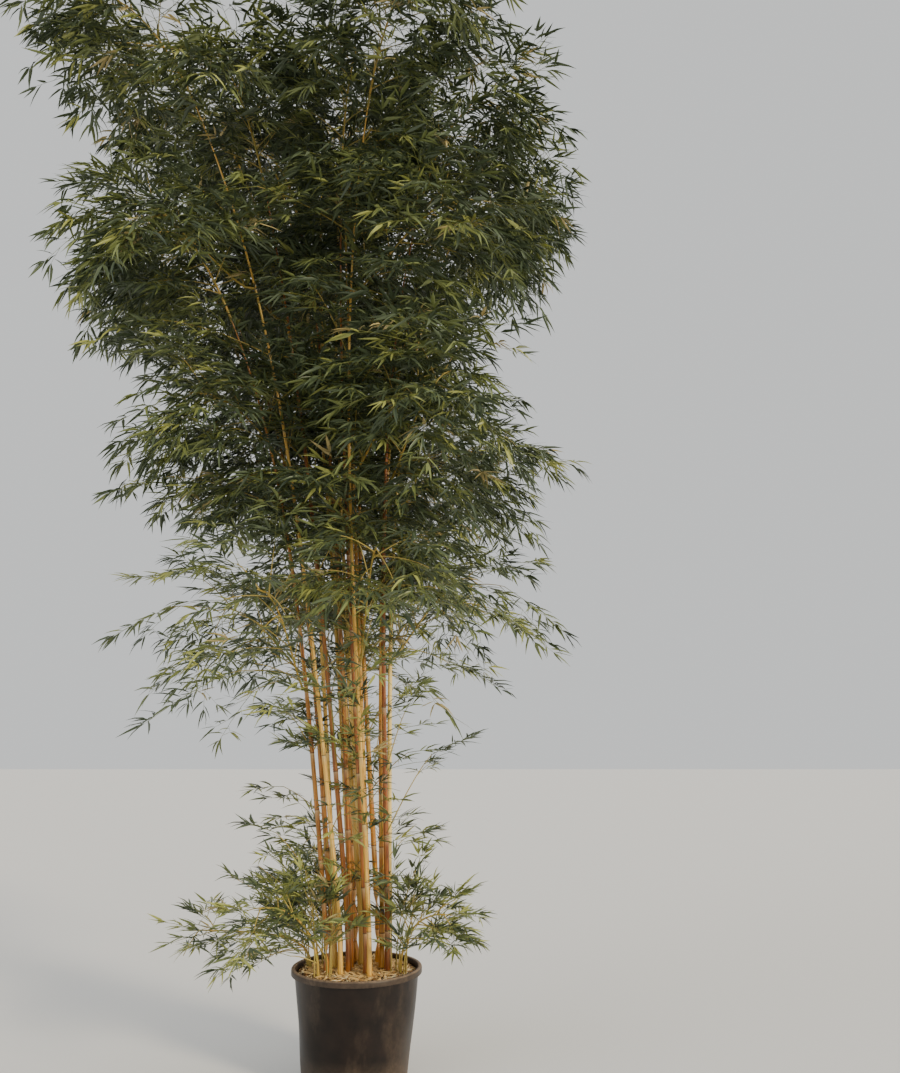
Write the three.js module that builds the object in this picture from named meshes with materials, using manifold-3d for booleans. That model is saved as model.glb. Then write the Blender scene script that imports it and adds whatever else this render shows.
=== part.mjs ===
// Potted golden bamboo: a round nursery pot, its soil, a clump of canes and the masses of leaves that they carry.
// Millimetres, +Z up. The origin is the centre of the pot's flat underside, so the ground is the plane z = 0.
// The clump is seen from -Y in the photo, with +X to the right.

import * as THREE from "three";
import { mergeVertices } from "three/addons/utils/BufferGeometryUtils.js";
import Module from "manifold-3d";

const wasm = await Module();
wasm.setup();

// The pot and the soil in it
const POT_HEIGHT = 460;
const POT_TOP_RADIUS = 290;
const POT_FOOT_RADIUS = 228;
const POT_WALL = 4;
const LIP_HEIGHT = 26;
const LIP_OVERHANG = 13;
const POT_SIDES = 32;
const DRAIN_HOLES = 8;
const DRAIN_WIDTH = 34;
const DRAIN_HEIGHT = 22;
const SOIL_TOP = 446;
const SOIL_EDGE_DROP = 14;
const SOIL_FLAT_RADIUS = 230;
const SOIL_WALL_GAP = 0.9;

// Neighbouring pieces stand this far clear of each other, and leaves and limbs of other masses at least the second.
const GAP = 0.3;
const CLEARANCE = 1.5;

// The canes: how they stand in the clump, their lengths in three ranks, and their thickness from foot to tip
const CANE_COUNT = 18;
const CLUMP_RADIUS = 165;
const CLUMP_CENTRE_X = 20;
const CLUMP_TURN = 0.6;
const CLUMP_JITTER = 0.3;
const GOLDEN_ANGLE = Math.PI * (3 - Math.sqrt(5));
const TALLEST_CANE = 4260;
const HEIGHT_RANKS = 3;
const HEIGHT_STEP = 420;
const HEIGHT_SPREAD = 80;
const EDGE_DROP = 330;
const THICKEST_CANE = 13.5;
const THINNEST_CANE = 8.5;
const CANE_TIP = 3;
const CANE_TAPER = 1.4;
const THICKNESS_SKEW = 1.5;
const ROOT_FLARE = 1.2;
const FLARE_SHARE = 0.03;
const INTERNODES = 14;
const INTERNODE_SWING = 0.06;
const NODES_PER_RING = 2;
const CANE_SIDES = 6;
const CANE_TRIES = 20;
const CANE_SEED = 101;
const TRY_SEED_STEP = 1000;

// A cane leaves the soil upright and then leans evenly. These are shares of its length: the clump's common lean to the
// left, the outward lean of a cane at the clump's edge, each cane's own wander, and the arch that its top ends in.
const BASE_BEND = 0.05;
const CLUMP_LEAN = 0.075;
const EDGE_LEAN = 0.045;
const LEAN_WANDER = 0.035;
const ARCH = 0.09;
const INNER_ARCH = 0.35;
const ARCH_POWER = 4;
const ARCH_DROP = 0.03;
const ARCH_WANDER = 0.5;

// The stems of the masses of leaves. Each goes through three steps, which are shares of its size in two directions.
// That of a tip mass goes on from its cane and bends over outwards. That of a side mass leaves its cane squarely, rises
// and nods at the tip.
const TIP_STEM = { size: 640, seed: 201, steps: [[0.35, 0], [0.8, 0.08], [0.92, 0.4]] };
const SIDE_STEM = { size: 780, seed: 301, steps: [[0.15, 0], [0.4, 0.6], [0.75, 0.55]] };
const HIGHEST_SIDE_NODE = 10;
const SIDE_TURN = 0.5;
const STEM_RADIUS = 7;
const TIP_START = 0.98;
const NODE_REACH = 0.01;
const STEM_ROOM = 3;
const STEM_TRIES = 12;
const STEM_TRY_TURN = 0.3;

// The twigs: where they leave their stem, as shares of it, and how
const TWIG_RADIUS = 4.2;
const LIMB_TAPER = 0.6;
const TWIG_SHARE = 0.4;
const TWIG_STARTS = [0.25, 0.45, 0.65, 0.85];
const TWIG_ANGLE = 0.9;
const TWIG_BEND = 0.6;
const TWIG_DROOP = 0.18;
const TWIG_END_LENGTHS = [1.2, 0.8];
const TWIG_LENGTH_SWING = 0.1;
const TWIG_TRIES = 8;

// The leaves, larger than life: each stands for a spray. Every twig has one ahead of its end and others beside it.
const LEAF_LENGTH = 490;
const LEAF_WIDTH = 150;
const LEAF_THICKNESS = 7;
const LEAF_WAIST = 0.36;
const LEAF_ENDS = { root: 3, tip: 3 };
const SIDE_LEAVES = [
  { start: 0.5, side: 1 },
  { start: 0.75, side: -1 },
];
const FAN_ANGLE = 0.75;
const FAN_WANDER = 0.15;
const LEAF_DROOP = 0.3;
const LEAF_ROLL = 0.45;
const LEAF_SCALES = [1, 0.87, 0.74, 0.61, 0.48];

// A limb marks out its mass's own space with points at this many even steps.
const MARKER_STEPS = 4;

// Low leafy shoots that stand on the soil and lean over the pot's lip, with smaller leaves: the side that each is on,
// and how high and how far out it goes
const SHOOT_STEM = { size: 420, seed: 401 };
const SHOOT_BEND = 0.35;
const SHOOT_LEAF = 0.5;
const SHOOT_RADIUS = 210;
const LOW_SHOOTS = [
  { angle: 3.05, rise: 0.35, reach: 1.3 },
  { angle: 3.9, rise: 0.75, reach: 0.75 },
  { angle: 2.3, rise: 0.8, reach: 0.8 },
  { angle: -0.35, rise: 0.6, reach: 0.5 },
];

const POT_PLASTIC = new THREE.MeshStandardMaterial({ color: 0x23201e, roughness: 0.55, metalness: 0 });
const SOIL_LITTER = new THREE.MeshStandardMaterial({ color: 0x8f7448, roughness: 0.95, metalness: 0 });
const GOLDEN_CANE = new THREE.MeshStandardMaterial({ color: 0xd9a441, roughness: 0.35, metalness: 0 });
const GREEN_LEAF = new THREE.MeshStandardMaterial({ color: 0x5b7327, roughness: 0.6, metalness: 0 });

const UP = new THREE.Vector3(0, 0, 1);
const plant = new THREE.Group();

const mix = (a, b, share) => a + (b - a) * share;
const twoDigits = (number) => String(number).padStart(2, "0");
const level = (angle) => new THREE.Vector3(Math.cos(angle), Math.sin(angle), 0);
const evenShares = (count) => Array.from({ length: count + 1 }, (_, i) => i / count);

// A repeatable stream of numbers from 0 to 1 for one seed, by the usual multiply and add
const STREAM_FACTOR = 1664525;
const STREAM_STEP = 1013904223;
const STREAM_RANGE = 2 ** 32;
function randomStream(seed) {
  let state = seed >>> 0;
  const next = () => {
    state = (Math.imul(state, STREAM_FACTOR) + STREAM_STEP) >>> 0;
    return state / STREAM_RANGE;
  };
  next();
  next();
  return next;
}

// A number from -1 to 1
const centred = (random) => 2 * random() - 1;

// A solid of a closed geometry, for joining and cutting, and a geometry of a solid
function solidOf(geometry) {
  const bare = geometry.clone();
  bare.deleteAttribute("normal");
  bare.deleteAttribute("uv");
  const merged = mergeVertices(bare, 1e-3);
  return new wasm.Manifold(
    new wasm.Mesh({
      numProp: 3,
      vertProperties: merged.attributes.position.array,
      triVerts: new Uint32Array(merged.index.array),
    }),
  );
}

function geometryOf(solid) {
  const mesh = solid.getMesh();
  const geometry = new THREE.BufferGeometry();
  geometry.setAttribute("position", new THREE.BufferAttribute(mesh.vertProperties, 3));
  geometry.setIndex(new THREE.BufferAttribute(mesh.triVerts, 1));
  geometry.computeVertexNormals();
  return geometry;
}

function addPiece(name, geometry, material) {
  const piece = new THREE.Mesh(geometry, material);
  piece.name = name;
  plant.add(piece);
}

// A round piece from its outline of [radius, height] pairs, which starts and ends on the axis
function turned(outline, sides) {
  const points = outline.map(([radius, height]) => new THREE.Vector2(radius, height));
  return new THREE.LatheGeometry(points, sides).rotateX(Math.PI / 2);
}

// The pot: a thin tapering wall with a floor, a lip that is turned down round its top, and drain holes at its foot.
function makePot() {
  const wallTop = POT_TOP_RADIUS - LIP_OVERHANG;
  const lipUnderside = POT_HEIGHT - POT_WALL;
  const lipFoot = POT_HEIGHT - LIP_HEIGHT;
  const outline = [
    [0, 0],
    [POT_FOOT_RADIUS, 0],
    [wallTop, lipUnderside],
    [POT_TOP_RADIUS - POT_WALL, lipUnderside],
    [POT_TOP_RADIUS - POT_WALL, lipFoot],
    [POT_TOP_RADIUS, lipFoot],
    [POT_TOP_RADIUS, POT_HEIGHT],
    [wallTop - POT_WALL, POT_HEIGHT],
    [POT_FOOT_RADIUS - POT_WALL, POT_WALL],
    [0, POT_WALL],
  ];
  const holes = Array.from({ length: DRAIN_HOLES }, (_, index) => {
    const hole = new THREE.BoxGeometry(2 * DRAIN_WIDTH, DRAIN_WIDTH, DRAIN_HEIGHT);
    hole.translate(POT_FOOT_RADIUS, 0, DRAIN_HEIGHT / 2 + 2 * POT_WALL);
    hole.rotateZ(((index + 0.5) * 2 * Math.PI) / DRAIN_HOLES);
    return solidOf(hole);
  });
  return geometryOf(holes.reduce((pot, hole) => pot.subtract(hole), solidOf(turned(outline, POT_SIDES))));
}

// The soil fills the pot. Its top is flat under the clump and drops a little to the wall.
function makeSoil() {
  const innerRadius = (height) => {
    const share = (height - POT_WALL) / (POT_HEIGHT - POT_WALL);
    return mix(POT_FOOT_RADIUS, POT_TOP_RADIUS - LIP_OVERHANG, share) - POT_WALL - SOIL_WALL_GAP;
  };
  const bottom = POT_WALL + GAP;
  const edge = SOIL_TOP - SOIL_EDGE_DROP;
  const outline = [
    [0, bottom],
    [innerRadius(bottom), bottom],
    [innerRadius(edge), edge],
    [SOIL_FLAT_RADIUS, SOIL_TOP],
    [0, SOIL_TOP],
  ];
  return turned(outline, POT_SIDES);
}

// A closed tapering piece through rings. Each ring is a centre and the vectors to its side and across.
function loft(rings, sides) {
  const last = rings.length - 1;
  const geometry = new THREE.CylinderGeometry(1, 1, 1, sides, last);
  const position = geometry.getAttribute("position");
  for (let i = 0; i < position.count; i += 1) {
    const { centre, side, across } = rings[Math.round((position.getY(i) + 0.5) * last)];
    const point = centre.clone().addScaledVector(side, position.getX(i)).addScaledVector(across, position.getZ(i));
    position.setXYZ(i, point.x, point.y, point.z);
  }
  return geometry;
}

// Rings that stand square to a path at some shares of it. They keep untwisted from the side that the last one faces.
function ringsAlong(pathAt, radiusAt, shares, lastSide) {
  const step = 1e-3;
  const side = lastSide.clone();
  const backwards = [...shares].reverse().map((share) => {
    const along = pathAt(Math.min(1, share + step)).sub(pathAt(Math.max(0, share - step))).normalize();
    side.addScaledVector(along, -side.dot(along)).normalize();
    const across = side.clone().cross(along).multiplyScalar(radiusAt(share));
    return { centre: pathAt(share), side: side.clone().multiplyScalar(radiusAt(share)), across };
  });
  return backwards.reverse();
}

// Shares of a cane's length at which its nodes stand: short internodes at the foot and the tip, long ones between.
// The solid cane has a ring at every other one.
const nodeShares = evenShares(INTERNODES).map((even) => even - INTERNODE_SWING * Math.sin(2 * Math.PI * even));
const ringShares = nodeShares.filter((_, node) => node % NODES_PER_RING === 0);

// How far a cane has leant at a share of its length, from an upright start
const leant = (share) => Math.hypot(share, BASE_BEND) - BASE_BEND;

// One cane by its number, counted from the middle of the clump to its edge, and by which try at it this is
function describeCane(index, attempt) {
  const random = randomStream(CANE_SEED + index + TRY_SEED_STEP * attempt);
  const share = (index + 0.5) / CANE_COUNT;
  const reach = Math.sqrt(share);
  const rank = index % HEIGHT_RANKS;
  const out = level(CLUMP_TURN + index * GOLDEN_ANGLE + CLUMP_JITTER * centred(random));
  const height = TALLEST_CANE - HEIGHT_STEP * rank - EDGE_DROP * share + HEIGHT_SPREAD * centred(random);
  const footRadius = mix(THICKEST_CANE, THINNEST_CANE, random() ** THICKNESS_SKEW);
  const foot = new THREE.Vector3(CLUMP_CENTRE_X, 0, SOIL_TOP + GAP).addScaledVector(out, CLUMP_RADIUS * reach);
  const lean = new THREE.Vector3(centred(random), centred(random), 0).multiplyScalar(LEAN_WANDER);
  lean.addScaledVector(out, EDGE_LEAN * reach);
  lean.x -= CLUMP_LEAN;
  const outAngle = Math.atan2(out.y, out.x) + ARCH_WANDER * centred(random);
  const arch = level(outAngle).multiplyScalar(ARCH * mix(INNER_ARCH, 1, reach));
  arch.z = -ARCH_DROP * reach;
  const pathAt = (t) => {
    const point = foot.clone().addScaledVector(UP, height * t);
    return point.addScaledVector(lean, height * leant(t)).addScaledVector(arch, height * t ** ARCH_POWER);
  };
  const flareAt = (t) => mix(ROOT_FLARE, 1, Math.min(1, t / FLARE_SHARE));
  const radiusAt = (t) => mix(footRadius, CANE_TIP, t ** CANE_TAPER) * flareAt(t);
  return { index, rank, pathAt, radiusAt, outAngle };
}

const caneSolid = ({ pathAt, radiusAt }) =>
  loft(ringsAlong(pathAt, radiusAt, ringShares, new THREE.Vector3(1, 0, 0)), CANE_SIDES);

// Every limb so far, as straight stretches with a radius, which later limbs of other owners stay clear of
const taken = [];
const stretchesOf = (points, radius) => points.slice(1).map((end, i) => ({ start: points[i], end, radius }));
const take = (stretches, owner) => stretches.forEach((stretch) => taken.push({ ...stretch, owner }));

// The least distance between two straight stretches
function gapBetween(a, b) {
  const u = a.end.clone().sub(a.start);
  const v = b.end.clone().sub(b.start);
  const w = a.start.clone().sub(b.start);
  const uu = u.dot(u);
  const uv = u.dot(v);
  const vv = v.dot(v);
  const spread = uu * vv - uv * uv;
  const nearest = spread > 1e-9 ? (uv * v.dot(w) - vv * u.dot(w)) / spread : 0;
  const t = THREE.MathUtils.clamp((v.dot(w) + THREE.MathUtils.clamp(nearest, 0, 1) * uv) / vv, 0, 1);
  const s = THREE.MathUtils.clamp((t * uv - u.dot(w)) / uu, 0, 1);
  return w.addScaledVector(u, s).addScaledVector(v, -t).length();
}

function isClear(stretches, owners) {
  return taken.every(
    (other) =>
      owners.includes(other.owner) ||
      stretches.every((stretch) => gapBetween(stretch, other) > stretch.radius + other.radius + CLEARANCE),
  );
}

// A direction square to a limb, as near as can be to the level direction of an angle
function squareTo(along, angle) {
  const side = level(angle);
  return side.addScaledVector(along, -side.dot(along)).normalize();
}

// A stem from its root through its steps along two directions
function stemThrough(root, first, second, { size, steps }) {
  const points = steps.map(([a, b]) => root.clone().addScaledVector(first, a * size).addScaledVector(second, b * size));
  return new THREE.CubicBezierCurve3(root, ...points);
}

// A twig leaves its stem at an angle, on the side that its turn about the stem gives, and droops at its tip.
function twigCurve(stem, start, turn, length) {
  const root = stem.getPoint(start);
  const along = stem.getTangent(start);
  const side = along.clone().cross(UP).normalize().applyAxisAngle(along, turn);
  const away = along.multiplyScalar(Math.cos(TWIG_ANGLE)).addScaledVector(side, Math.sin(TWIG_ANGLE));
  const middle = root.clone().addScaledVector(away, TWIG_BEND * length);
  const tip = root.clone().addScaledVector(away, length).addScaledVector(UP, -TWIG_DROOP * length);
  return new THREE.QuadraticBezierCurve3(root, middle, tip);
}

// The level direction square to a limb. Rings that face this way have a keel below and a flat face to each side, and so
// the leaves leave through the flats.
const levelSide = (along) => UP.clone().cross(along).normalize();

// Where a leaf lies: its root on its twig, its drooping direction and the side that its blade spreads to
function describeLeaf(twig, start, turn, random) {
  const angle = turn + FAN_WANDER * centred(random);
  const along = twig.getTangent(start);
  const direction = along.multiplyScalar(Math.cos(angle)).addScaledVector(levelSide(along), Math.sin(angle));
  direction.addScaledVector(UP, -LEAF_DROOP).normalize();
  const side = levelSide(direction);
  side.applyAxisAngle(direction, LEAF_ROLL * centred(random));
  return { root: twig.getPoint(start), direction, side };
}

// The rings of a leaf blade, a flat three-sided spindle that is widest nearer its root. The margin makes it larger all
// round, to try whether it has room, and its pointed ends go some margins further out than its faces.
function leafRings({ root, direction, side }, scale, margin) {
  const length = scale * LEAF_LENGTH + (LEAF_ENDS.root + LEAF_ENDS.tip) * margin;
  const width = scale * LEAF_WIDTH + 4 * margin;
  const thickness = LEAF_THICKNESS + 2 * margin;
  const across = side.clone().cross(direction);
  return [[0, 0], [LEAF_WAIST, 1], [1, 0]].map(([share, size]) => ({
    centre: root.clone().addScaledVector(direction, share * length - LEAF_ENDS.root * margin),
    side: side.clone().multiplyScalar((size * width) / Math.sqrt(3)),
    across: across.clone().multiplyScalar((size * thickness) / 1.5),
  }));
}

const leafSolid = (leaf, scale, margin) => solidOf(loft(leafRings(leaf, scale, margin), 3));

// A stem or twig with a ring at each of its shares, which goes on as the leaf at its end where there is one
function woodSolid({ curve, radius, shares, endLeaf }, scale) {
  const radiusAt = (share) => radius * mix(1, LIMB_TAPER, share);
  const rings = ringsAlong((share) => curve.getPoint(share), radiusAt, shares, levelSide(curve.getTangent(1)));
  const blade = scale ? leafRings(endLeaf, scale, 0).slice(1) : [];
  return solidOf(loft([...rings, ...blade], 3));
}

addPiece("pot", makePot(), POT_PLASTIC);
addPiece("soil", makeSoil(), SOIL_LITTER);

// The canes, each the first try at it that keeps clear of those before it
const canes = [];
for (let index = 0; index < CANE_COUNT; index += 1) {
  const tries = Array.from({ length: CANE_TRIES }, (_, attempt) => {
    const cane = describeCane(index, attempt);
    return { ...cane, stretches: stretchesOf(ringShares.map(cane.pathAt), cane.radiusAt(0)) };
  });
  const cane = tries.find(({ stretches }) => isClear(stretches, []));
  const name = "cane_" + twoDigits(index + 1);
  take(cane.stretches, name);
  addPiece(name, caneSolid(cane), GOLDEN_CANE);
  canes.push({ ...cane, name });
}

// A mass starts with its stem, at the first angle near the wanted one where that keeps well clear of every other limb.
const masses = [];
function startMass(kind, index, neighbour, { size, seed }, leafScale, wanted, makeStem) {
  const name = kind + twoDigits(index + 1);
  const tries = Array.from({ length: STEM_TRIES }, (_, i) => {
    const turn = Math.ceil(i / 2) * (i % 2 ? STEM_TRY_TURN : -STEM_TRY_TURN);
    return makeStem(wanted + turn);
  });
  const isFree = (stem) => isClear(stretchesOf(stem.getPoints(MARKER_STEPS), STEM_ROOM * STEM_RADIUS), [neighbour]);
  const stem = tries.find(isFree) ?? tries[0];
  take(stretchesOf(stem.getPoints(MARKER_STEPS), STEM_RADIUS), name);
  masses.push({ name, size, leafScale, stem, twigs: [], random: randomStream(seed + index) });
}

canes.forEach((cane) => {
  const tip = cane.pathAt(1);
  const along = tip.clone().sub(cane.pathAt(TIP_START)).normalize();
  const root = tip.addScaledVector(along, GAP);
  startMass("leafy_tip_", cane.index, cane.name, TIP_STEM, 1, cane.outAngle, (angle) =>
    stemThrough(root, along, squareTo(along, angle), TIP_STEM),
  );
});

canes.forEach((cane) => {
  const share = nodeShares[HIGHEST_SIDE_NODE - NODES_PER_RING * cane.rank];
  const along = cane.pathAt(share + NODE_REACH).sub(cane.pathAt(share - NODE_REACH)).normalize();
  const wanted = cane.outAngle + (cane.index % 2 ? SIDE_TURN : -SIDE_TURN);
  startMass("leafy_side_", cane.index, cane.name, SIDE_STEM, 1, wanted, (angle) => {
    const outward = squareTo(along, angle);
    const root = cane.pathAt(share).addScaledVector(outward, cane.radiusAt(share) + GAP);
    return stemThrough(root, outward, UP, SIDE_STEM);
  });
});

LOW_SHOOTS.forEach((shoot, index) => {
  const { rise, reach } = shoot;
  const root = level(shoot.angle).multiplyScalar(SHOOT_RADIUS).setZ(SOIL_TOP + GAP);
  const stem = { size: SHOOT_STEM.size, steps: [[SHOOT_BEND, 0], [rise, SHOOT_BEND * reach], [rise, reach]] };
  startMass("low_shoot_", index, "soil", SHOOT_STEM, SHOOT_LEAF, shoot.angle, (angle) =>
    stemThrough(root, UP, level(angle), stem),
  );
});

// A mass's own space is all that is nearer to its limbs than to those of any other mass.
function setMarkers() {
  masses.forEach((mass) => {
    mass.markers = [mass.stem, ...mass.twigs].flatMap((limb) => limb.getPoints(MARKER_STEPS));
  });
}

function isOwnSpace(mass, point) {
  const nearest = ({ markers }) => Math.min(...markers.map((marker) => marker.distanceTo(point)));
  const own = nearest(mass);
  return masses.every((other) => other === mass || nearest(other) > own);
}

// Twigs: each takes the first side of its stem, turning on by the golden angle, where it is clear and in its space.
setMarkers();
masses.forEach((mass) => {
  const phase = 2 * Math.PI * mass.random();
  TWIG_STARTS.forEach((start, order) => {
    const swing = 1 + TWIG_LENGTH_SWING * centred(mass.random);
    const length = TWIG_SHARE * mass.size * mix(...TWIG_END_LENGTHS, start) * swing;
    for (let attempt = 0; attempt < TWIG_TRIES; attempt += 1) {
      const turn = phase + GOLDEN_ANGLE * (order + attempt * TWIG_STARTS.length);
      const twig = twigCurve(mass.stem, start, turn, length);
      const stretches = stretchesOf(twig.getPoints(2), TWIG_RADIUS);
      if (isOwnSpace(mass, twig.getPoint(1)) && isClear(stretches, [mass.name])) {
        take(stretches, mass.name);
        mass.twigs.push(twig);
        break;
      }
    }
  });
});

// The limbs of a mass: its stem with a leaf at its end, and its twigs with leaves at their ends and sides
masses.forEach((mass) => {
  const { stem, twigs, random } = mass;
  mass.limbs = [
    {
      curve: stem,
      radius: STEM_RADIUS,
      shares: [0, ...TWIG_STARTS, 1],
      endLeaf: describeLeaf(stem, 1, 0, random),
      sideLeaves: [],
    },
    ...twigs.map((twig) => ({
      curve: twig,
      radius: TWIG_RADIUS,
      shares: [0, ...SIDE_LEAVES.map(({ start }) => start), 1],
      endLeaf: describeLeaf(twig, 1, 0, random),
      sideLeaves: SIDE_LEAVES.map(({ start, side }) => describeLeaf(twig, start, side * FAN_ANGLE, random)),
    })),
  ];
});

// What stands already, with the box round each solid to find those near a leaf
const placed = [];
const place = (solid, limb) => placed.push({ solid, limb, box: solid.boundingBox() });
plant.children.forEach((piece) => place(solidOf(piece.geometry)));
masses.flatMap(({ limbs }) => limbs).forEach((limb) => place(woodSolid(limb, 0), limb));

// Whether an enlarged leaf touches nothing but the limb that it grows on
function hasRoom(leaf, limb) {
  const box = leaf.boundingBox();
  const meets = (other) => [0, 1, 2].every((axis) => other.min[axis] < box.max[axis] && box.min[axis] < other.max[axis]);
  return placed.every((other) => other.limb === limb || !meets(other.box) || leaf.intersect(other.solid).isEmpty());
}

// The largest scale at which a leaf has room and its middle is in its mass's own space, or nothing
function findScale(leaf, limb, mass) {
  const scale = LEAF_SCALES.map((size) => size * mass.leafScale).find((size) => {
    const middle = leaf.root.clone().addScaledVector(leaf.direction, (size * LEAF_LENGTH) / 2);
    return isOwnSpace(mass, middle) && hasRoom(leafSolid(leaf, size, CLEARANCE), limb);
  });
  if (scale) place(leafSolid(leaf, scale, 0));
  return scale;
}

// Each mass is one solid, joined from its limbs with the leaves at their ends, and from the leaves on their sides.
setMarkers();
masses.forEach((mass) => {
  const wood = mass.limbs.map((limb) => woodSolid(limb, findScale(limb.endLeaf, limb, mass)));
  const leaves = mass.limbs.flatMap((limb) =>
    limb.sideLeaves.flatMap((leaf) => {
      const scale = findScale(leaf, limb, mass);
      return scale ? [leafSolid(leaf, scale, 0)] : [];
    }),
  );
  const whole = [...wood, ...leaves].reduce((joined, solid) => joined.add(solid));
  addPiece(mass.name, geometryOf(whole), GREEN_LEAF);
});

export default plant;
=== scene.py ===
# %% [markdown]
# # A potted golden bamboo
# The real object is a clump of golden bamboo in a round nursery pot, taller than the camera's view. The
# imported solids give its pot, its soil, its 18 canes and its 40 masses of twigs and leaves. This lesson
# dresses them. The pot and the soil are turned shapes, the canes and twigs are tubes that Geometry
# Nodes sweep along paths, and the leaves are one small blade that Geometry Nodes set on many points.
# Everything is in metres, +Z is up, and the origin is under the middle of the pot.

# %% Load the frame
import math

import bmesh
import bpy
import numpy as np
from mathutils import Matrix, Vector, noise


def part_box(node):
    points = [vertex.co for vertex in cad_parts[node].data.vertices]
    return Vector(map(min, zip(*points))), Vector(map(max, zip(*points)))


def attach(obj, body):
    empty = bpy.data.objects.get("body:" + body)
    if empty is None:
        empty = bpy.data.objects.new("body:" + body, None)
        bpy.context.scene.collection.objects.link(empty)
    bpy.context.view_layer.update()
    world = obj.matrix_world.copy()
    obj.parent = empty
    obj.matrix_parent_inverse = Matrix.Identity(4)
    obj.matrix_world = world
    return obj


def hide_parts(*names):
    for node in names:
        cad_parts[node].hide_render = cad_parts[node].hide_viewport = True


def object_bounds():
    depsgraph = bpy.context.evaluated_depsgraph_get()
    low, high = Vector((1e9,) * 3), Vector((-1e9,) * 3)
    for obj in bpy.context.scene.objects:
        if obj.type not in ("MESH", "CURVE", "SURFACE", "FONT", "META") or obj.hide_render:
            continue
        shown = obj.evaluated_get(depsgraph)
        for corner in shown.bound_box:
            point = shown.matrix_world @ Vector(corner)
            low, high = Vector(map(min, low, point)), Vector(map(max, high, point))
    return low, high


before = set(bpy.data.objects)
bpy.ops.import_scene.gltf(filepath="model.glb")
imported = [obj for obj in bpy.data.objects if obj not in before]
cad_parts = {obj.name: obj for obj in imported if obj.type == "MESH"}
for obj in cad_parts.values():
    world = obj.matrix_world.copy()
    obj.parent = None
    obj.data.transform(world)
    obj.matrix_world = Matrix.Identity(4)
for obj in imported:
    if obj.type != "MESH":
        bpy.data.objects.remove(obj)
SOLID_BOX = [list(map(float, corner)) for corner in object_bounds()]
MM = 0.001
print("the solids' box:", SOLID_BOX)

# %% [markdown]
# ## Small helpers
# A plant like this is grown by a rule with seeded random numbers, so that every run gives the same plant.
# The helpers below are the few sums that all its parts share. Vectors are numpy arrays, so that one line
# can work on thousands of leaves at once.

# %% Sums that every part uses
UP = np.array([0.0, 0.0, 1.0])
GOLDEN_ANGLE = math.pi * (3 - math.sqrt(5))
STREAM_FACTOR = 1664525
STREAM_STEP = 1013904223
STREAM_RANGE = 2**32


def mix(a, b, share):
    """The value that lies at a share of the way from a to b."""
    return a + (b - a) * share


def unit(vectors):
    """Vectors with the same directions and length 1."""
    return vectors / np.linalg.norm(vectors, axis=-1, keepdims=True)


def level(angle):
    """The level direction at an angle from +X."""
    return np.array([math.cos(angle), math.sin(angle), 0.0])


def random_stream(seed):
    """A repeatable stream of numbers from 0 to 1, the same one that grew the solids."""
    state = seed

    def draw():
        nonlocal state
        state = (state * STREAM_FACTOR + STREAM_STEP) % STREAM_RANGE
        return state / STREAM_RANGE

    draw()
    draw()
    return draw


def centred(draw):
    """A number from -1 to 1."""
    return 2 * draw() - 1


def note(lists, *values):
    """Adds one value to each list, in their order."""
    for listed, value in zip(lists.values(), values):
        listed.append(value)


print("the golden angle:", round(math.degrees(GOLDEN_ANGLE), 1), "degrees")

# %% [markdown]
# ## The clump's rule: canes
# A bamboo clump is many canes of one root. Each stands upright at the soil, leans outwards a little and
# arches at its top. They could be drawn one by one, but the solids were grown by a rule with a few named
# sizes. It is written again here, so that the fine canes run exactly where the solid ones do.

# %% Sizes of the canes
SOIL_TOP = 446 * MM
GAP = 0.3 * MM
CLEARANCE = 1.5 * MM
CANE_COUNT = 18
CLUMP_RADIUS = 165 * MM
CLUMP_CENTRE_X = 20 * MM
CLUMP_TURN = 0.6
CLUMP_JITTER = 0.3
TALLEST_CANE = 4260 * MM
HEIGHT_RANKS = 3
HEIGHT_STEP = 420 * MM
HEIGHT_SPREAD = 80 * MM
EDGE_DROP = 330 * MM
THICKEST_CANE = 13.5 * MM
THINNEST_CANE = 8.5 * MM
THICKNESS_SKEW = 1.5
CANE_TAPER = 1.4
CANE_TIP = 3 * MM
ROOT_FLARE = 1.2
FLARE_SHARE = 0.03
INTERNODES = 14
INTERNODE_SWING = 0.06
NODES_PER_RING = 2
CANE_TRIES = 20
CANE_SEED = 101
TRY_SEED_STEP = 1000
BASE_BEND = 0.05
CLUMP_LEAN = 0.075
EDGE_LEAN = 0.045
LEAN_WANDER = 0.035
ARCH = 0.09
INNER_ARCH = 0.35
ARCH_DROP = 0.03
ARCH_WANDER = 0.5
ARCH_POWER = 4

EVEN = np.arange(INTERNODES + 1) / INTERNODES
NODE_SHARES = EVEN - INTERNODE_SWING * np.sin(2 * np.pi * EVEN)
print("canes to grow:", CANE_COUNT, "with", INTERNODES, "internodes each")

# %% [markdown]
# ## One cane
# On a real cane the middle internodes are the longest, and it tapers and bends most near its top. A
# drawn curve could give that, but a formula gives the axis and the radius at any share of the length,
# which the stems, twigs and skins that follow all ask for.

# %% One cane


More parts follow.
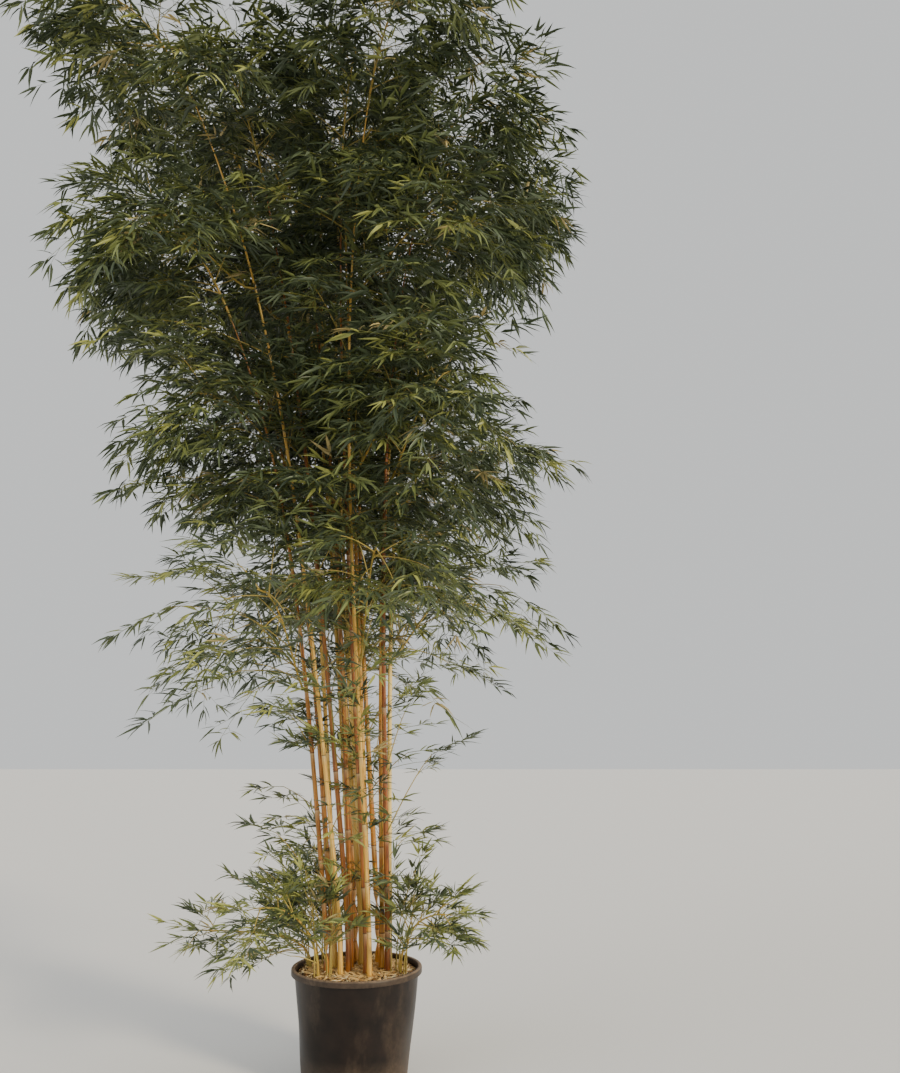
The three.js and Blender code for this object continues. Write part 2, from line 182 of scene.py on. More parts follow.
class Cane:
    """One cane by its number from the middle of the clump outwards, and by which try at it this is."""

    def __init__(self, index, attempt):
        draw = random_stream(CANE_SEED + index + TRY_SEED_STEP * attempt)
        share = (index + 0.5) / CANE_COUNT
        reach = math.sqrt(share)
        self.index = index
        self.rank = index % HEIGHT_RANKS
        out = level(CLUMP_TURN + index * GOLDEN_ANGLE + CLUMP_JITTER * centred(draw))
        self.height = TALLEST_CANE - HEIGHT_STEP * self.rank - EDGE_DROP * share
        self.height += HEIGHT_SPREAD * centred(draw)
        self.foot_radius = mix(THICKEST_CANE, THINNEST_CANE, draw() ** THICKNESS_SKEW)
        self.foot = np.array([CLUMP_CENTRE_X, 0, SOIL_TOP + GAP]) + out * CLUMP_RADIUS * reach
        wander = np.array([centred(draw), centred(draw), 0.0]) * LEAN_WANDER
        self.lean = wander + out * EDGE_LEAN * reach - np.array([CLUMP_LEAN, 0, 0])
        self.out_angle = math.atan2(out[1], out[0]) + ARCH_WANDER * centred(draw)
        bend = level(self.out_angle) * ARCH
        self.arch = bend * mix(INNER_ARCH, 1, reach) - UP * ARCH_DROP * reach

    def path(self, share):
        """The point on the cane's axis at a share of its length, or the points at several."""
        t = np.asarray(share, float)[..., None]
        leant = np.hypot(t, BASE_BEND) - BASE_BEND
        return self.foot + self.height * (UP * t + self.lean * leant + self.arch * t**ARCH_POWER)

    def radius(self, share):
        """The cane's radius at a share of its length."""
        flare = mix(ROOT_FLARE, 1, np.minimum(1, np.asarray(share) / FLARE_SHARE))
        return mix(self.foot_radius, CANE_TIP, np.asarray(share) ** CANE_TAPER) * flare


print("the first cane's height:", round(float(Cane(0, 0).height), 3), "m")

# %% [markdown]
# ## Keeping clear
# Canes and stems crowd each other on the real plant but never grow through one another. Meshes could be
# tested against each other, but that is slow. A limb is tested as a few straight stretches, because the
# distance between two of those is a short sum, done for all the others at once.

# %% Straight stretches of limb, and how far they keep from each other
PARALLEL = 1e-21
taken = {"start": [], "end": [], "radius": [], "owner": []}


def take(points, radius, owner):
    """Notes a limb's stretches, so that later limbs keep clear of it."""
    for start, end in zip(points, points[1:]):
        note(taken, start, end, radius, owner)


def gaps_to(start, end, starts, ends):
    """The least distances from one straight stretch to several others."""
    u = end - start
    v = ends - starts
    w = start - starts
    uu = u @ u
    uv = v @ u
    vv = (v * v).sum(1)
    wu = w @ u
    wv = (w * v).sum(1)
    spread = uu * vv - uv * uv
    nearest = np.where(spread > PARALLEL, (uv * wv - vv * wu) / np.maximum(spread, PARALLEL), 0)
    t = np.clip((wv + np.clip(nearest, 0, 1) * uv) / vv, 0, 1)
    s = np.clip((t * uv - wu) / uu, 0, 1)
    return np.linalg.norm(w + u * s[:, None] - v * t[:, None], axis=1)


def is_clear(points, radius, owners):
    """Whether a limb keeps clear of all stretches but those of some owners."""
    others = np.array([owner not in owners for owner in taken["owner"]], bool)
    if not others.any():
        return True
    starts, ends = np.array(taken["start"])[others], np.array(taken["end"])[others]
    room = np.array(taken["radius"])[others] + radius + CLEARANCE
    return all((gaps_to(a, b, starts, ends) > room).all() for a, b in zip(points, points[1:]))


print("room between limbs: more than", CLEARANCE, "m")

# %% [markdown]
# ## Where the canes stand
# A cane that would touch an earlier one is tried again with other random numbers, as the solids' rule
# does. The boxes of the solid canes then prove that the rule written here gives the same canes.

# %% Grow the canes' axes
canes = []
for index in range(CANE_COUNT):
    for attempt in range(CANE_TRIES):
        cane = Cane(index, attempt)
        axis = cane.path(NODE_SHARES[::NODES_PER_RING])
        if is_clear(axis, cane.radius(0), []):
            break
    cane.name = f"cane_{index + 1:02d}"
    take(axis, cane.radius(0), cane.name)
    canes.append(cane)

worst = 0
for cane in canes:
    low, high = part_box(cane.name)
    worst = max(worst, abs(high.z - cane.path(1)[2]), abs(low.z - cane.foot[2]))
print(f"canes: {len(canes)}, and their ends are at most {worst * 1000:.2f} mm from the solid ones")

# %% [markdown]
# ## The clump's rule: stems and twigs
# Each cane carries a mass of leaves at its tip and one at a node on its side, and four low shoots stand
# on the soil. A mass has one stem with twigs round it by the golden angle, which is how many plants space
# their buds. A twig is kept only in its mass's own space, that is nearer to its own stem than to any
# other mass.

# %% Sizes of the stems and twigs
TIP_STEM = {"size": 640 * MM, "seed": 201, "steps": [(0.35, 0), (0.8, 0.08), (0.92, 0.4)]}
SIDE_STEM = {"size": 780 * MM, "seed": 301, "steps": [(0.15, 0), (0.4, 0.6), (0.75, 0.55)]}
SHOOT_STEM = {"size": 420 * MM, "seed": 401}
SHOOT_BEND = 0.35
SHOOT_LEAF = 0.5
SHOOT_RADIUS = 210 * MM
LOW_SHOOTS = [(3.05, 0.35, 1.3), (3.9, 0.75, 0.75), (2.3, 0.8, 0.8), (-0.35, 0.6, 0.5)]
HIGHEST_SIDE_NODE = 10
SIDE_TURN = 0.5
STEM_RADIUS = 7 * MM
STEM_ROOM = 3
STEM_TRIES = 12
STEM_TRY_TURN = 0.3
TWIG_RADIUS = 4.2 * MM
TWIG_SHARE = 0.4
TWIG_STARTS = [0.25, 0.45, 0.65, 0.85]
TWIG_ANGLE = 0.9
TWIG_BEND = 0.6
TWIG_DROOP = 0.18
TWIG_END_LENGTHS = (1.2, 0.8)
TWIG_LENGTH_SWING = 0.1
TWIG_TRIES = 8
LEAF_LENGTH = 490 * MM
SIDE_LEAVES = [(0.5, 1), (0.75, -1)]
FAN_ANGLE = 0.75
FAN_WANDER = 0.15
LEAF_DROOP = 0.3
LEAF_SCALES = [1, 0.87, 0.74, 0.61, 0.48]
MARKER_STEPS = 4
print("stems of a tip, a side and a shoot:", [s["size"] for s in (TIP_STEM, SIDE_STEM, SHOOT_STEM)], "m")

# %% [markdown]
# ## Curved limbs
# Stems and twigs are short and bend one way or two. Blender's own curves could hold them, but hundreds
# are tried and dropped again, so each is a plain Bezier sum over three or four control points. It gives a
# point and a direction at any share of the limb, which is all that growing on from it takes.

# %% Curved limbs
TANGENT_STEP = 1e-4


class Limb:
    """A limb along a Bezier curve through its control points."""

    def __init__(self, *controls):
        self.controls = [np.asarray(point, float) for point in controls]

    def point(self, share):
        """The point at a share of the curve, or the points at several."""
        t = np.asarray(share, float)[..., None]
        points = self.controls
        while len(points) > 1:
            points = [mix(a, b, t) for a, b in zip(points, points[1:])]
        return points[0]

    def tangent(self, share):
        """The direction in which the limb runs at a share of it."""
        return unit(self.point(min(1, share + TANGENT_STEP)) - self.point(max(0, share - TANGENT_STEP)))

    def markers(self, steps=MARKER_STEPS):
        """Points at even steps along the limb."""
        return self.point(np.arange(steps + 1) / steps)


def stem_through(root, first, second, size, steps):
    """A stem from its root through its steps along two directions."""
    return Limb(root, *[root + size * (a * first + b * second) for a, b in steps])


def square_to(along, angle):
    """A direction square to a limb, as near as can be to the level direction of an angle."""
    side = level(angle)
    return unit(side - along * (side @ along))


def turned_about(vector, axis, angle):
    """A vector turned by an angle about an axis that it is square to."""
    return vector * math.cos(angle) + np.cross(axis, vector) * math.sin(angle)


def drooping_limb(root, away, length):
    """A limb that leaves its root in a direction and droops at its tip."""
    return Limb(root, root + away * TWIG_BEND * length, root + (away - UP * TWIG_DROOP) * length)


def twig_curve(stem, start, turn, length):
    """A twig that leaves its stem at an angle, on the side of its turn."""
    along = stem.tangent(start)
    side = turned_about(unit(np.cross(along, UP)), along, turn)
    away = along * math.cos(TWIG_ANGLE) + side * math.sin(TWIG_ANGLE)
    return drooping_limb(stem.point(start), away, length)


print("halfway along a bent limb:", Limb((0, 0, 0), (0, 0, 1), (1, 0, 1)).point(0.5))

# %% [markdown]
# ## Where the stems start
# One stem grows on from each cane's tip, one stands out from a node on each cane's side, higher or lower
# by the cane's rank, and four rise from the soil. A stem turns away from its wanted angle until it keeps
# clear of the rest.

# %% Grow the stems
STEM_START = {"tip": 0.98, "reach": 0.01}
masses = []


def start_mass(kind, index, neighbour, rule, leaf_scale, wanted, make_stem):
    """Starts a mass with its stem, at the first angle where that keeps well clear of every other limb."""
    name = f"{kind}{index + 1:02d}"
    turns = [math.ceil(i / 2) * (STEM_TRY_TURN if i % 2 else -STEM_TRY_TURN) for i in range(STEM_TRIES)]
    tries = [make_stem(wanted + turn) for turn in turns]
    free = [stem for stem in tries if is_clear(stem.markers(), STEM_ROOM * STEM_RADIUS, [neighbour])]
    stem = (free or tries)[0]
    take(stem.markers(), STEM_RADIUS, name)
    masses.append({
        "name": name, "size": rule["size"], "leaf_scale": leaf_scale, "stem": stem, "twigs": [],
        "draw": random_stream(rule["seed"] + index),
    })


for cane in canes:
    tip = cane.path(1)
    along = unit(tip - cane.path(STEM_START["tip"]))

    def tip_stem(angle):
        side = square_to(along, angle)
        return stem_through(tip + along * GAP, along, side, TIP_STEM["size"], TIP_STEM["steps"])

    start_mass("leafy_tip_", cane.index, cane.name, TIP_STEM, 1, cane.out_angle, tip_stem)

for cane in canes:
    share = NODE_SHARES[HIGHEST_SIDE_NODE - NODES_PER_RING * cane.rank]
    along = unit(cane.path(share + STEM_START["reach"]) - cane.path(share - STEM_START["reach"]))

    def side_stem(angle):
        outward = square_to(along, angle)
        root = cane.path(share) + outward * (cane.radius(share) + GAP)
        return stem_through(root, outward, UP, SIDE_STEM["size"], SIDE_STEM["steps"])

    wanted = cane.out_angle + (SIDE_TURN if cane.index % 2 else -SIDE_TURN)
    start_mass("leafy_side_", cane.index, cane.name, SIDE_STEM, 1, wanted, side_stem)

for index, (angle, rise, reach) in enumerate(LOW_SHOOTS):
    root = level(angle) * SHOOT_RADIUS + UP * (SOIL_TOP + GAP)
    steps = [(SHOOT_BEND, 0), (rise, SHOOT_BEND * reach), (rise, reach)]

    def shoot_stem(turned):
        return stem_through(root, UP, level(turned), SHOOT_STEM["size"], steps)

    start_mass("low_shoot_", index, "soil", SHOOT_STEM, SHOOT_LEAF, angle, shoot_stem)
print("masses:", len(masses))

# %% [markdown]
# ## Each mass's own space
# On the real plant leaves fill the space that no other spray has taken. Testing leaf against leaf would
# take long, so each stem and twig carries a few marker points, and a new twig is kept if the marker
# nearest to its tip is one of its own mass.

# %% Each mass's own space, and the twigs in it
POINTS_AT_ONCE = 500


def all_markers():
    """The marker points of every mass, and the number of the mass that each is of."""
    points = [np.concatenate([limb.markers() for limb in [m["stem"], *m["twigs"]]]) for m in masses]
    owners = np.repeat(np.arange(len(masses)), [len(p) for p in points])
    return np.concatenate(points), owners


def nearest_mass(points, markers, owners):
    """The number of the mass that each point is nearest to."""
    found = []
    for chunk in np.array_split(points, max(1, len(points) // POINTS_AT_ONCE)):
        distance = np.linalg.norm(chunk[:, None] - markers[None], axis=2)
        found.append(owners[distance.argmin(1)])
    return np.concatenate(found)


markers, owners = all_markers()
for number, mass in enumerate(masses):
    draw = mass["draw"]
    phase = 2 * math.pi * draw()
    for order, start in enumerate(TWIG_STARTS):
        swing = 1 + TWIG_LENGTH_SWING * centred(draw)
        length = TWIG_SHARE * mass["size"] * mix(*TWIG_END_LENGTHS, start) * swing
        for attempt in range(TWIG_TRIES):
            turn = phase + GOLDEN_ANGLE * (order + attempt * len(TWIG_STARTS))
            twig = twig_curve(mass["stem"], start, turn, length)
            own = nearest_mass(twig.point([1.0]), markers, owners)[0] == number
            if own and is_clear(twig.markers(2), TWIG_RADIUS, [mass["name"]]):
                take(twig.markers(2), TWIG_RADIUS, mass["name"])
                mass["twigs"].append(twig)
                break
print("twigs of the solids' rule:", sum(len(mass["twigs"]) for mass in masses))

# %% [markdown]
# ## Finer twigs
# The solids stop where one big leaf stands for a whole spray. The real plant goes further: the stems
# carry more twigs between those of the solids. They follow the same rule with the same golden-angle
# turns, at closer steps, and a twig is kept only where its tip is in its mass's own space, so the crown
# keeps its outline and its gaps.

# %% More twigs between those of the solids
FINE_TWIG_STARTS = np.linspace(0.12, 0.98, 12)
FINE_TWIG_LENGTH = 0.95
FINE_TWIG_SWING = (0.7, 1.0)
FINE_SEED = 501

random = np.random.default_rng(FINE_SEED)
markers, owners = all_markers()
for number, mass in enumerate(masses):
    phase = random.uniform(0, 2 * math.pi)
    lengths = FINE_TWIG_LENGTH * TWIG_SHARE * mass["size"] * mix(*TWIG_END_LENGTHS, FINE_TWIG_STARTS)
    lengths = lengths * random.uniform(*FINE_TWIG_SWING, len(lengths))
    tried = [
        twig_curve(mass["stem"], start, phase + GOLDEN_ANGLE * order, length)
        for order, (start, length) in enumerate(zip(FINE_TWIG_STARTS, lengths))
    ]
    tips = np.array([twig.point(1) for twig in tried])
    own = nearest_mass(tips, markers, owners) == number
    mass["fine_twigs"] = [twig for twig, keep in zip(tried, own) if keep]
print("finer twigs:", sum(len(mass["fine_twigs"]) for mass in masses))

# %% [markdown]
# ## Young shoots
# The low shoots aren't single stems on the real plant: thin young ones stand close beside each, upright
# or leaning the same way. They rise straight from the soil and are counted with the mass that they stand
# beside.

# %% Young shoots beside the low ones
SHOOTS_BESIDE = 6
SHOOT_SPREAD = 0.045
SHOOT_INSET = 0.92
SHOOT_KINK = 0.6
SHOOT_RISE = (0.2, 0.46)
SHOOT_LEAN = (0.1, 0.75)

for mass in masses[-len(LOW_SHOOTS) :]:
    foot, tip = mass["stem"].point([0.0, 1.0])
    for _ in range(SHOOTS_BESIDE):
        aside = np.append(random.uniform(-SHOOT_SPREAD, SHOOT_SPREAD, 2), 0)
        start = foot * [SHOOT_INSET, SHOOT_INSET, 1] + aside
        rise = UP * random.uniform(*SHOOT_RISE)
        lean = (tip - foot) * [1, 1, 0] * random.uniform(*SHOOT_LEAN) + (start - foot)
        mass["fine_twigs"].append(Limb(start, start + rise * SHOOT_KINK, start + rise + lean))
print("young shoots:", SHOOTS_BESIDE * len(LOW_SHOOTS))

# %% [markdown]
# ## Branchlets
# Where the solids have one big leaf, the real plant has a branchlet with a score of small ones. Each
# branchlet starts where the solids' rule puts a leaf, or at one of a few more places on the same twigs.
# The crown is full above about 2.6 m and thins out below that, where the photo shows the canes through
# it, so low branchlets are dealt more sparingly. The low shoots on the soil are young: theirs rise, and
# are small.

# %% Where branchlets grow, and how leafy they are
MORE_BRANCHLETS = [(0.22, -1), (0.36, 1), (0.62, -1), (0.88, 1)]
THIN_HEIGHT = 1.75
FULL_HEIGHT = 2.65
THIN_SHARE = 0.13
SHOOT_HEIGHT = 1.1
SHOOT_SHARE = 0.36
SHOOT_DROOP = -0.35
SHOOT_SIZE = 0.85
SHOOT_FULLNESS = (0.4, 0.8)
CROWN_FULLNESS = (0.75, 1.0)
FINE_SPRAY = (0.65, 0.95)
DROOP_SWING = (-0.25, 0.15)
SPRAY_SWING = (-2, 2)
REACH_ROOM = 0.07

branchlets = {"root": [], "direction": [], "length": [], "fullness": []}
low_reach = np.array(SOLID_BOX[0]) - REACH_ROOM
high_reach = np.array(SOLID_BOX[1]) + REACH_ROOM
print("branchlets stay between", low_reach, "and", high_reach)

# %% [markdown]
# ## Dealing the branchlets out
# A spray leaves its limb ahead, to the left or to the right, and nods. Its size is the first of five, from
# large to small, that keeps its middle in its mass's own space, as in the solids' rule.

# %% Deal the branchlets out


def add_branchlet(root, direction, length, fullness):
    """Notes a branchlet within reach: its root, direction, length with leaves, and how leafy it is."""
    tip = root + direction * length
    if ((tip >= low_reach) & (tip <= high_reach)).all():
        note(branchlets, root, direction, length, fullness)


def spray_direction(limb, start, side, wander, droop):
    """The direction of a spray that leaves a limb ahead, to the left or to the right, and droops."""
    along = limb.tangent(start)
    across = unit(np.cross(UP, along))
    angle = side * FAN_ANGLE + FAN_WANDER * wander
    return unit(along * math.cos(angle) + across * math.sin(angle) - UP * droop)


def share_kept(height):
    """The share of branchlets that the plant bears at a height."""
    if height < SHOOT_HEIGHT:
        return SHOOT_SHARE
    return mix(THIN_SHARE, 1, min(1, max(0, (height - THIN_HEIGHT) / (FULL_HEIGHT - THIN_HEIGHT))))


markers, owners = all_markers()
for number, mass in enumerate(masses):
    is_shoot = mass["leaf_scale"] < 1
    limbs = [mass["stem"], *mass["twigs"], *mass["fine_twigs"]]
    starts = [(1, 0), *SIDE_LEAVES, *MORE_BRANCHLETS]
    for order, limb in enumerate(limbs):
        # the stem itself, the first limb, bears one at its tip alone
        for start, side in starts if order else starts[:1]:
            root = limb.point(start)
            droop = SHOOT_DROOP if is_shoot else LEAF_DROOP + random.uniform(*DROOP_SWING)
            direction = spray_direction(limb, start, side, random.uniform(*SPRAY_SWING), droop)
            sizes = np.array(LEAF_SCALES) * mass["leaf_scale"] * LEAF_LENGTH
            if is_shoot:
                sizes = sizes * SHOOT_SIZE
            if order > len(mass["twigs"]):
                sizes = sizes * random.uniform(*FINE_SPRAY)
            # the first size whose middle lies in the mass's own space
            middle = root + direction * sizes[:, None] / 2
            own = nearest_mass(middle, markers, owners) == number
            if own.any() and random.uniform() < share_kept(middle[own.argmax(), 2]):
                fullness = random.uniform(*(SHOOT_FULLNESS if is_shoot else CROWN_FULLNESS))
                add_branchlet(root, direction, sizes[own.argmax()], fullness)
print("branchlets on the masses:", len(branchlets["root"]))

# %% [markdown]
# ## Branchlets on the canes
# Bamboo also breaks out of the canes themselves: each node bears up to three branchlets, on the other
# side of the cane than those below. Low down they have mostly died back to a thin bare stick with a leaf
# or two, and in the crown they are leafy and fill the space round the canes.

# %% Small branchlets at the canes' own nodes
BARE_HEIGHT = 0.75
LEAFY_HEIGHT = 2.5
NODE_BRANCHLET = (0.3, 0.56)
NODE_RISE = (0.1, 0.9)
NODE_TURNS = (-1.1, 0.0, 1.0)
NODE_SWING = 0.4
NODE_CHANCE = (0.28, 0.9)
NODE_FULLNESS = (0.25, 0.95)
FULLNESS_SWING = (0.6, 1)
FIRST_TURN_SWING = 0.6
CHANCE_SKEW = 1.5
LOWEST_SIZE = 0.5

for cane in canes:
    turn = cane.out_angle + random.uniform(-FIRST_TURN_SWING, FIRST_TURN_SWING)
    for order, share in enumerate(NODE_SHARES[1:-1]):
        root = cane.path(share)
        leafiness = np.clip((root[2] - BARE_HEIGHT) / (LEAFY_HEIGHT - BARE_HEIGHT), 0, 1)
        for node_turn in NODE_TURNS:
            bearing = turn + math.pi * order + random.uniform(-NODE_SWING, NODE_SWING) + node_turn
            direction = unit(level(bearing) + UP * random.uniform(*NODE_RISE))
            length = random.uniform(*NODE_BRANCHLET) * mix(LOWEST_SIZE, 1, leafiness)
            if root[2] > BARE_HEIGHT and random.uniform() < mix(*NODE_CHANCE, leafiness**CHANCE_SKEW):
                fullness = mix(*NODE_FULLNESS, leafiness) * random.uniform(*FULLNESS_SWING)
                add_branchlet(root, direction, length, fullness)
print("branchlets with those on the canes:", len(branchlets["root"]))

# %% [markdown]
# ## Twigs on the canes
# The side masses stand on the sixth, eighth or tenth node. In the crown the nodes between those are as
# leafy: two twigs there reach out to opposite sides and close the crown between its tiers. Below the
# crown most of this wood has lost its leaves. What is left are thin straw-coloured twigs that slant up
# across the canes, with a small spray or two.

# %% Twigs at the canes' nodes, in the crown and below it
CROWN_TWIGS = {
    "nodes": (7, 9, 11), "chance": 1.0, "length": (0.32, 0.6), "rise": (0.2, 0.7),
    "spray": (0.5, 0.9), "fullness": (0.75, 1), "starts": [(1, 0), *SIDE_LEAVES, *MORE_BRANCHLETS],
}
BARE_TWIGS = {
    "nodes": (2, 3, 4, 5, 6), "chance": 0.26, "length": (0.22, 0.5), "rise": (0.9, 2.4),
    "spray": (0.35, 0.62), "fullness": (0.1, 0.6), "starts": [(1, 0), (0.6, 1), (0.8, -1)],
}
TWIG_SWING = 0.7
cane_twigs = []


def grow_cane_twigs(kind, share_of_sprays):
    """Grows twigs of a kind from the canes' nodes, with a share of their sprays by height."""
    places = [(cane, node, side) for cane in canes for node in kind["nodes"] for side in (0, math.pi)]
    for cane, node, opposite in places:
        root = cane.path(NODE_SHARES[node])
        swing = random.uniform(-TWIG_SWING, TWIG_SWING)
        bearing = cane.out_angle + opposite + GOLDEN_ANGLE * node + swing
        away = unit(level(bearing) + UP * random.uniform(*kind["rise"]))
        length = random.uniform(*kind["length"])
        if random.uniform() > kind["chance"]:
            continue
        limb = drooping_limb(root, away, length)
        cane_twigs.append(limb)
        for start, side in kind["starts"]:
            direction = spray_direction(limb, start, side, random.uniform(*SPRAY_SWING), LEAF_DROOP)
            place = limb.point(start)
            if random.uniform() < share_of_sprays(place[2]):
                spray = LEAF_LENGTH * random.uniform(*kind["spray"])
                add_branchlet(place, direction, spray, random.uniform(*kind["fullness"]))


grow_cane_twigs(CROWN_TWIGS, share_kept)
grow_cane_twigs(BARE_TWIGS, lambda height: 1)
print("twigs on the canes:", len(cane_twigs))
branchlets = {key: np.array(values) for key, values in branchlets.items()}
count = len(branchlets["root"])
print("branchlets in all:", count)

# %% [markdown]
# ## Leaves on the branchlets
# A branchlet is a thin, nodding stick with side sticks left and right in turn. Each side stick bears two
# leaves and ends in a fan of three, narrow and pointed, held level to a little drooping, a little higher
# on the young shoots, and each rolled its own way. One object per leaf would be far too slow, so a leaf is
# only a place, two directions and a length, in arrays with one row for each leaf.

# %% The leaves of one fan
STICK_SHARE = 0.74
STICK_NOD = 0.14
SIDE_STICK_STARTS = [0.2, 0.38, 0.56, 0.74]
SIDE_STICK_LENGTH = (0.055, 0.115)
SIDE_STICK_ANGLE = 0.8
SIDE_STICK_SWING = 0.2
LEAF_PLACES = [(0.45, 0.75), (0.72, -0.7), (1.0, 0.45), (1.0, 0.0), (1.0, -0.5)]
END_LEAF_PLACES = [(0.88, 0.7), (0.94, -0.65), (1.0, 0.4), (1.0, 0.0), (1.0, -0.4)]
END_LEAF_LUCK = 0.35
REAL_LEAF = (0.08, 0.132)
SMALLEST_LEAF = 0.6
SMALLEST_SPRAY = 0.3
BLADE_DROOP = (-0.35, 0.6)
BLADE_LIFT = 0.28
BLADE_SWING = 0.42
LIFTED_HEIGHT = 1.9
BLADE_ROLL = 0.9

stick_length = branchlets["length"][:, None] * STICK_SHARE
small = np.clip(branchlets["length"] / LEAF_LENGTH, SMALLEST_SPRAY, 1)


def stick_point(share, wanted=slice(None)):
    """The points at a share of the branchlets' sticks."""
    bent = branchlets["direction"][wanted] * share - UP * STICK_NOD * share**2
    return branchlets["root"][wanted] + stick_length[wanted] * bent


def turned_level(along, turn):
    """Directions turned from others by an angle, to the left or to the right."""
    return along * np.cos(turn) + unit(np.cross(UP, along)) * np.sin(turn)


leaves = {"root": [], "direction": [], "normal": [], "length": [], "branchlet": [], "fan": []}
side_sticks = []


def add_leaves(wanted, fan, root, along, turn):
    """Adds one leaf to a fan of each wanted branchlet, that leaves its stick's direction by a turn."""
    amount = len(wanted)
    direction = turned_level(along, turn + random.uniform(-BLADE_SWING, BLADE_SWING, (amount, 1)))
    lift = np.where(root[:, 2:] < LIFTED_HEIGHT, BLADE_LIFT, 0)
    direction = unit(direction - UP * (random.uniform(*BLADE_DROOP, (amount, 1)) - lift))
    across = unit(np.cross(UP, direction))
    roll = random.uniform(-BLADE_ROLL, BLADE_ROLL, (amount, 1))
    normal = np.cross(direction, across) * np.cos(roll) + across * np.sin(roll)
    length = random.uniform(*REAL_LEAF, amount) * mix(SMALLEST_LEAF, 1, small[wanted])
    note(leaves, root, direction, normal, length, wanted, np.full(amount, fan))


print("a branchlet has up to", len(SIDE_STICK_STARTS) + 1, "fans of", len(LEAF_PLACES), "leaves")

# %% [markdown]
# ## Fans of leaves
# Not every branchlet has all its fans: the fuller it is, the more of them grow. One pass of the loop
# makes the same side stick, and the same leaf of its fan, on every branchlet of the plant at once.

# %% Grow the fans
for order, start in enumerate(SIDE_STICK_STARTS):
    wanted = np.flatnonzero(random.uniform(0, 1, count) < branchlets["fullness"])
    amount = len(wanted)
    along = unit(branchlets["direction"][wanted] - UP * 2 * STICK_NOD * start)
    swing = random.uniform(-SIDE_STICK_SWING, SIDE_STICK_SWING, (amount, 1))
    turn = (-1) ** order * (SIDE_STICK_ANGLE + swing)
    side_direction = turned_level(along, turn)
    root = stick_point(start, wanted)
    reach = side_direction * random.uniform(*SIDE_STICK_LENGTH, (amount, 1)) * small[wanted, None]
    side_sticks.append(np.stack([root, root + reach], axis=1))
    for place, leaf_turn in LEAF_PLACES:
        add_leaves(wanted, order, root + reach * place, side_direction, leaf_turn)
wanted = np.flatnonzero(random.uniform(0, 1, count) < branchlets["fullness"] + END_LEAF_LUCK)
along = unit(branchlets["direction"][wanted] - UP * 2 * STICK_NOD)
for place, leaf_turn in END_LEAF_PLACES:
    add_leaves(wanted, len(SIDE_STICK_STARTS), stick_point(place, wanted), along, leaf_turn)
leaves = {key: np.concatenate(values) for key, values in leaves.items()}
print("leaves:", len(leaves["length"]))

# %% [markdown]
# ## Leaves left out
# No leaf may pass through the pot or the soil, or grow more than a little beyond the solids' reach, which
# is the plant's size. Bending such leaves back would crowd the edge, so they are left out.

# %% Leave out what would pass through the pot or reach too far
POT_ROOM = 0.295
POT_TOP = 0.465
tips = leaves["root"] + leaves["direction"] * leaves["length"][:, None]
in_reach = ((tips > low_reach) & (tips < high_reach)).all(1)
in_pot = (np.hypot(tips[:, 0], tips[:, 1]) < POT_ROOM) & (tips[:, 2] < POT_TOP)
leaves = {key: values[in_reach & ~in_pot] for key, values in leaves.items()}
print("leaves kept:", len(leaves["length"]))

# %% [markdown]
# ## Nodes
# Geometry trees and shader trees are built in the same way: add a node, set it, link it. One small
# function does that for both. It makes the node's own settings first, because they decide which of its
# sockets are in use.

# %% Add a node


def live(sockets, name=None):
    """The socket of a number or a name, or the first. Of several alike, it is the one in use."""
    if isinstance(name, int):
        return sockets[name]
    return next((socket for socket in sockets if socket.enabled and name in (None, socket.name)), None)


def feed(tree, node, inputs):
    """Gives each of a node's inputs a value or a link."""
    for name, value in inputs.items():
        socket = live(node.inputs, name)
        if isinstance(value, bpy.types.NodeSocket):
            tree.links.new(value, socket)
        else:
            socket.default_value = value


def add_node(tree, kind, inputs=None, output=None, **settings):
    """Adds a node with its settings and inputs, and gives one of its outputs."""
    node = tree.nodes.new(kind)
    for name, value in settings.items():
        setattr(node, name, value)
    feed(tree, node, inputs or {})
    return live(node.outputs, output)


print("helpers for nodes: live, feed and add_node")

# %% [markdown]
# ## The tube tree
# Canes, stems, twigs and sticks are all round limbs along a path. They could be skinned by hand, ring by
# ring, but a geometry tree does it for any number of them at once: it sweeps a small circle along each
# path, as thick as the path's points say. It ends by realizing its instances and setting a material.

# %% The tube tree


def new_tree(name, **inputs):
    """An empty geometry tree with named inputs of the given kinds, as (tree, what it is given)."""
    tree = bpy.data.node_groups.new(name, "GeometryNodeTree")
    for title, kind in {"Geometry": "Geometry", **inputs}.items():
        tree.interface.new_socket(title, in_out="INPUT", socket_type="NodeSocket" + kind)
    tree.interface.new_socket("Geometry", in_out="OUTPUT", socket_type="NodeSocketGeometry")
    return tree, tree.nodes.new("NodeGroupInput").outputs


def end_tree(tree, geometry, given):
    """Ends a tree: instances made real, shaded smooth, in the given material."""
    real = add_node(tree, "GeometryNodeRealizeInstances", {"Geometry": geometry})
    smooth = add_node(tree, "GeometryNodeSetShadeSmooth", {"Geometry": real})
    painted = add_node(tree, "GeometryNodeSetMaterial", {"Geometry": smooth, "Material": given["Material"]})
    add_node(tree, "NodeGroupOutput", {"Geometry": painted})
    return tree


def attribute(tree, name, kind="FLOAT_VECTOR"):
    """The values that points carry under a name."""
    return add_node(tree, "GeometryNodeInputNamedAttribute", {"Name": name}, data_type=kind)


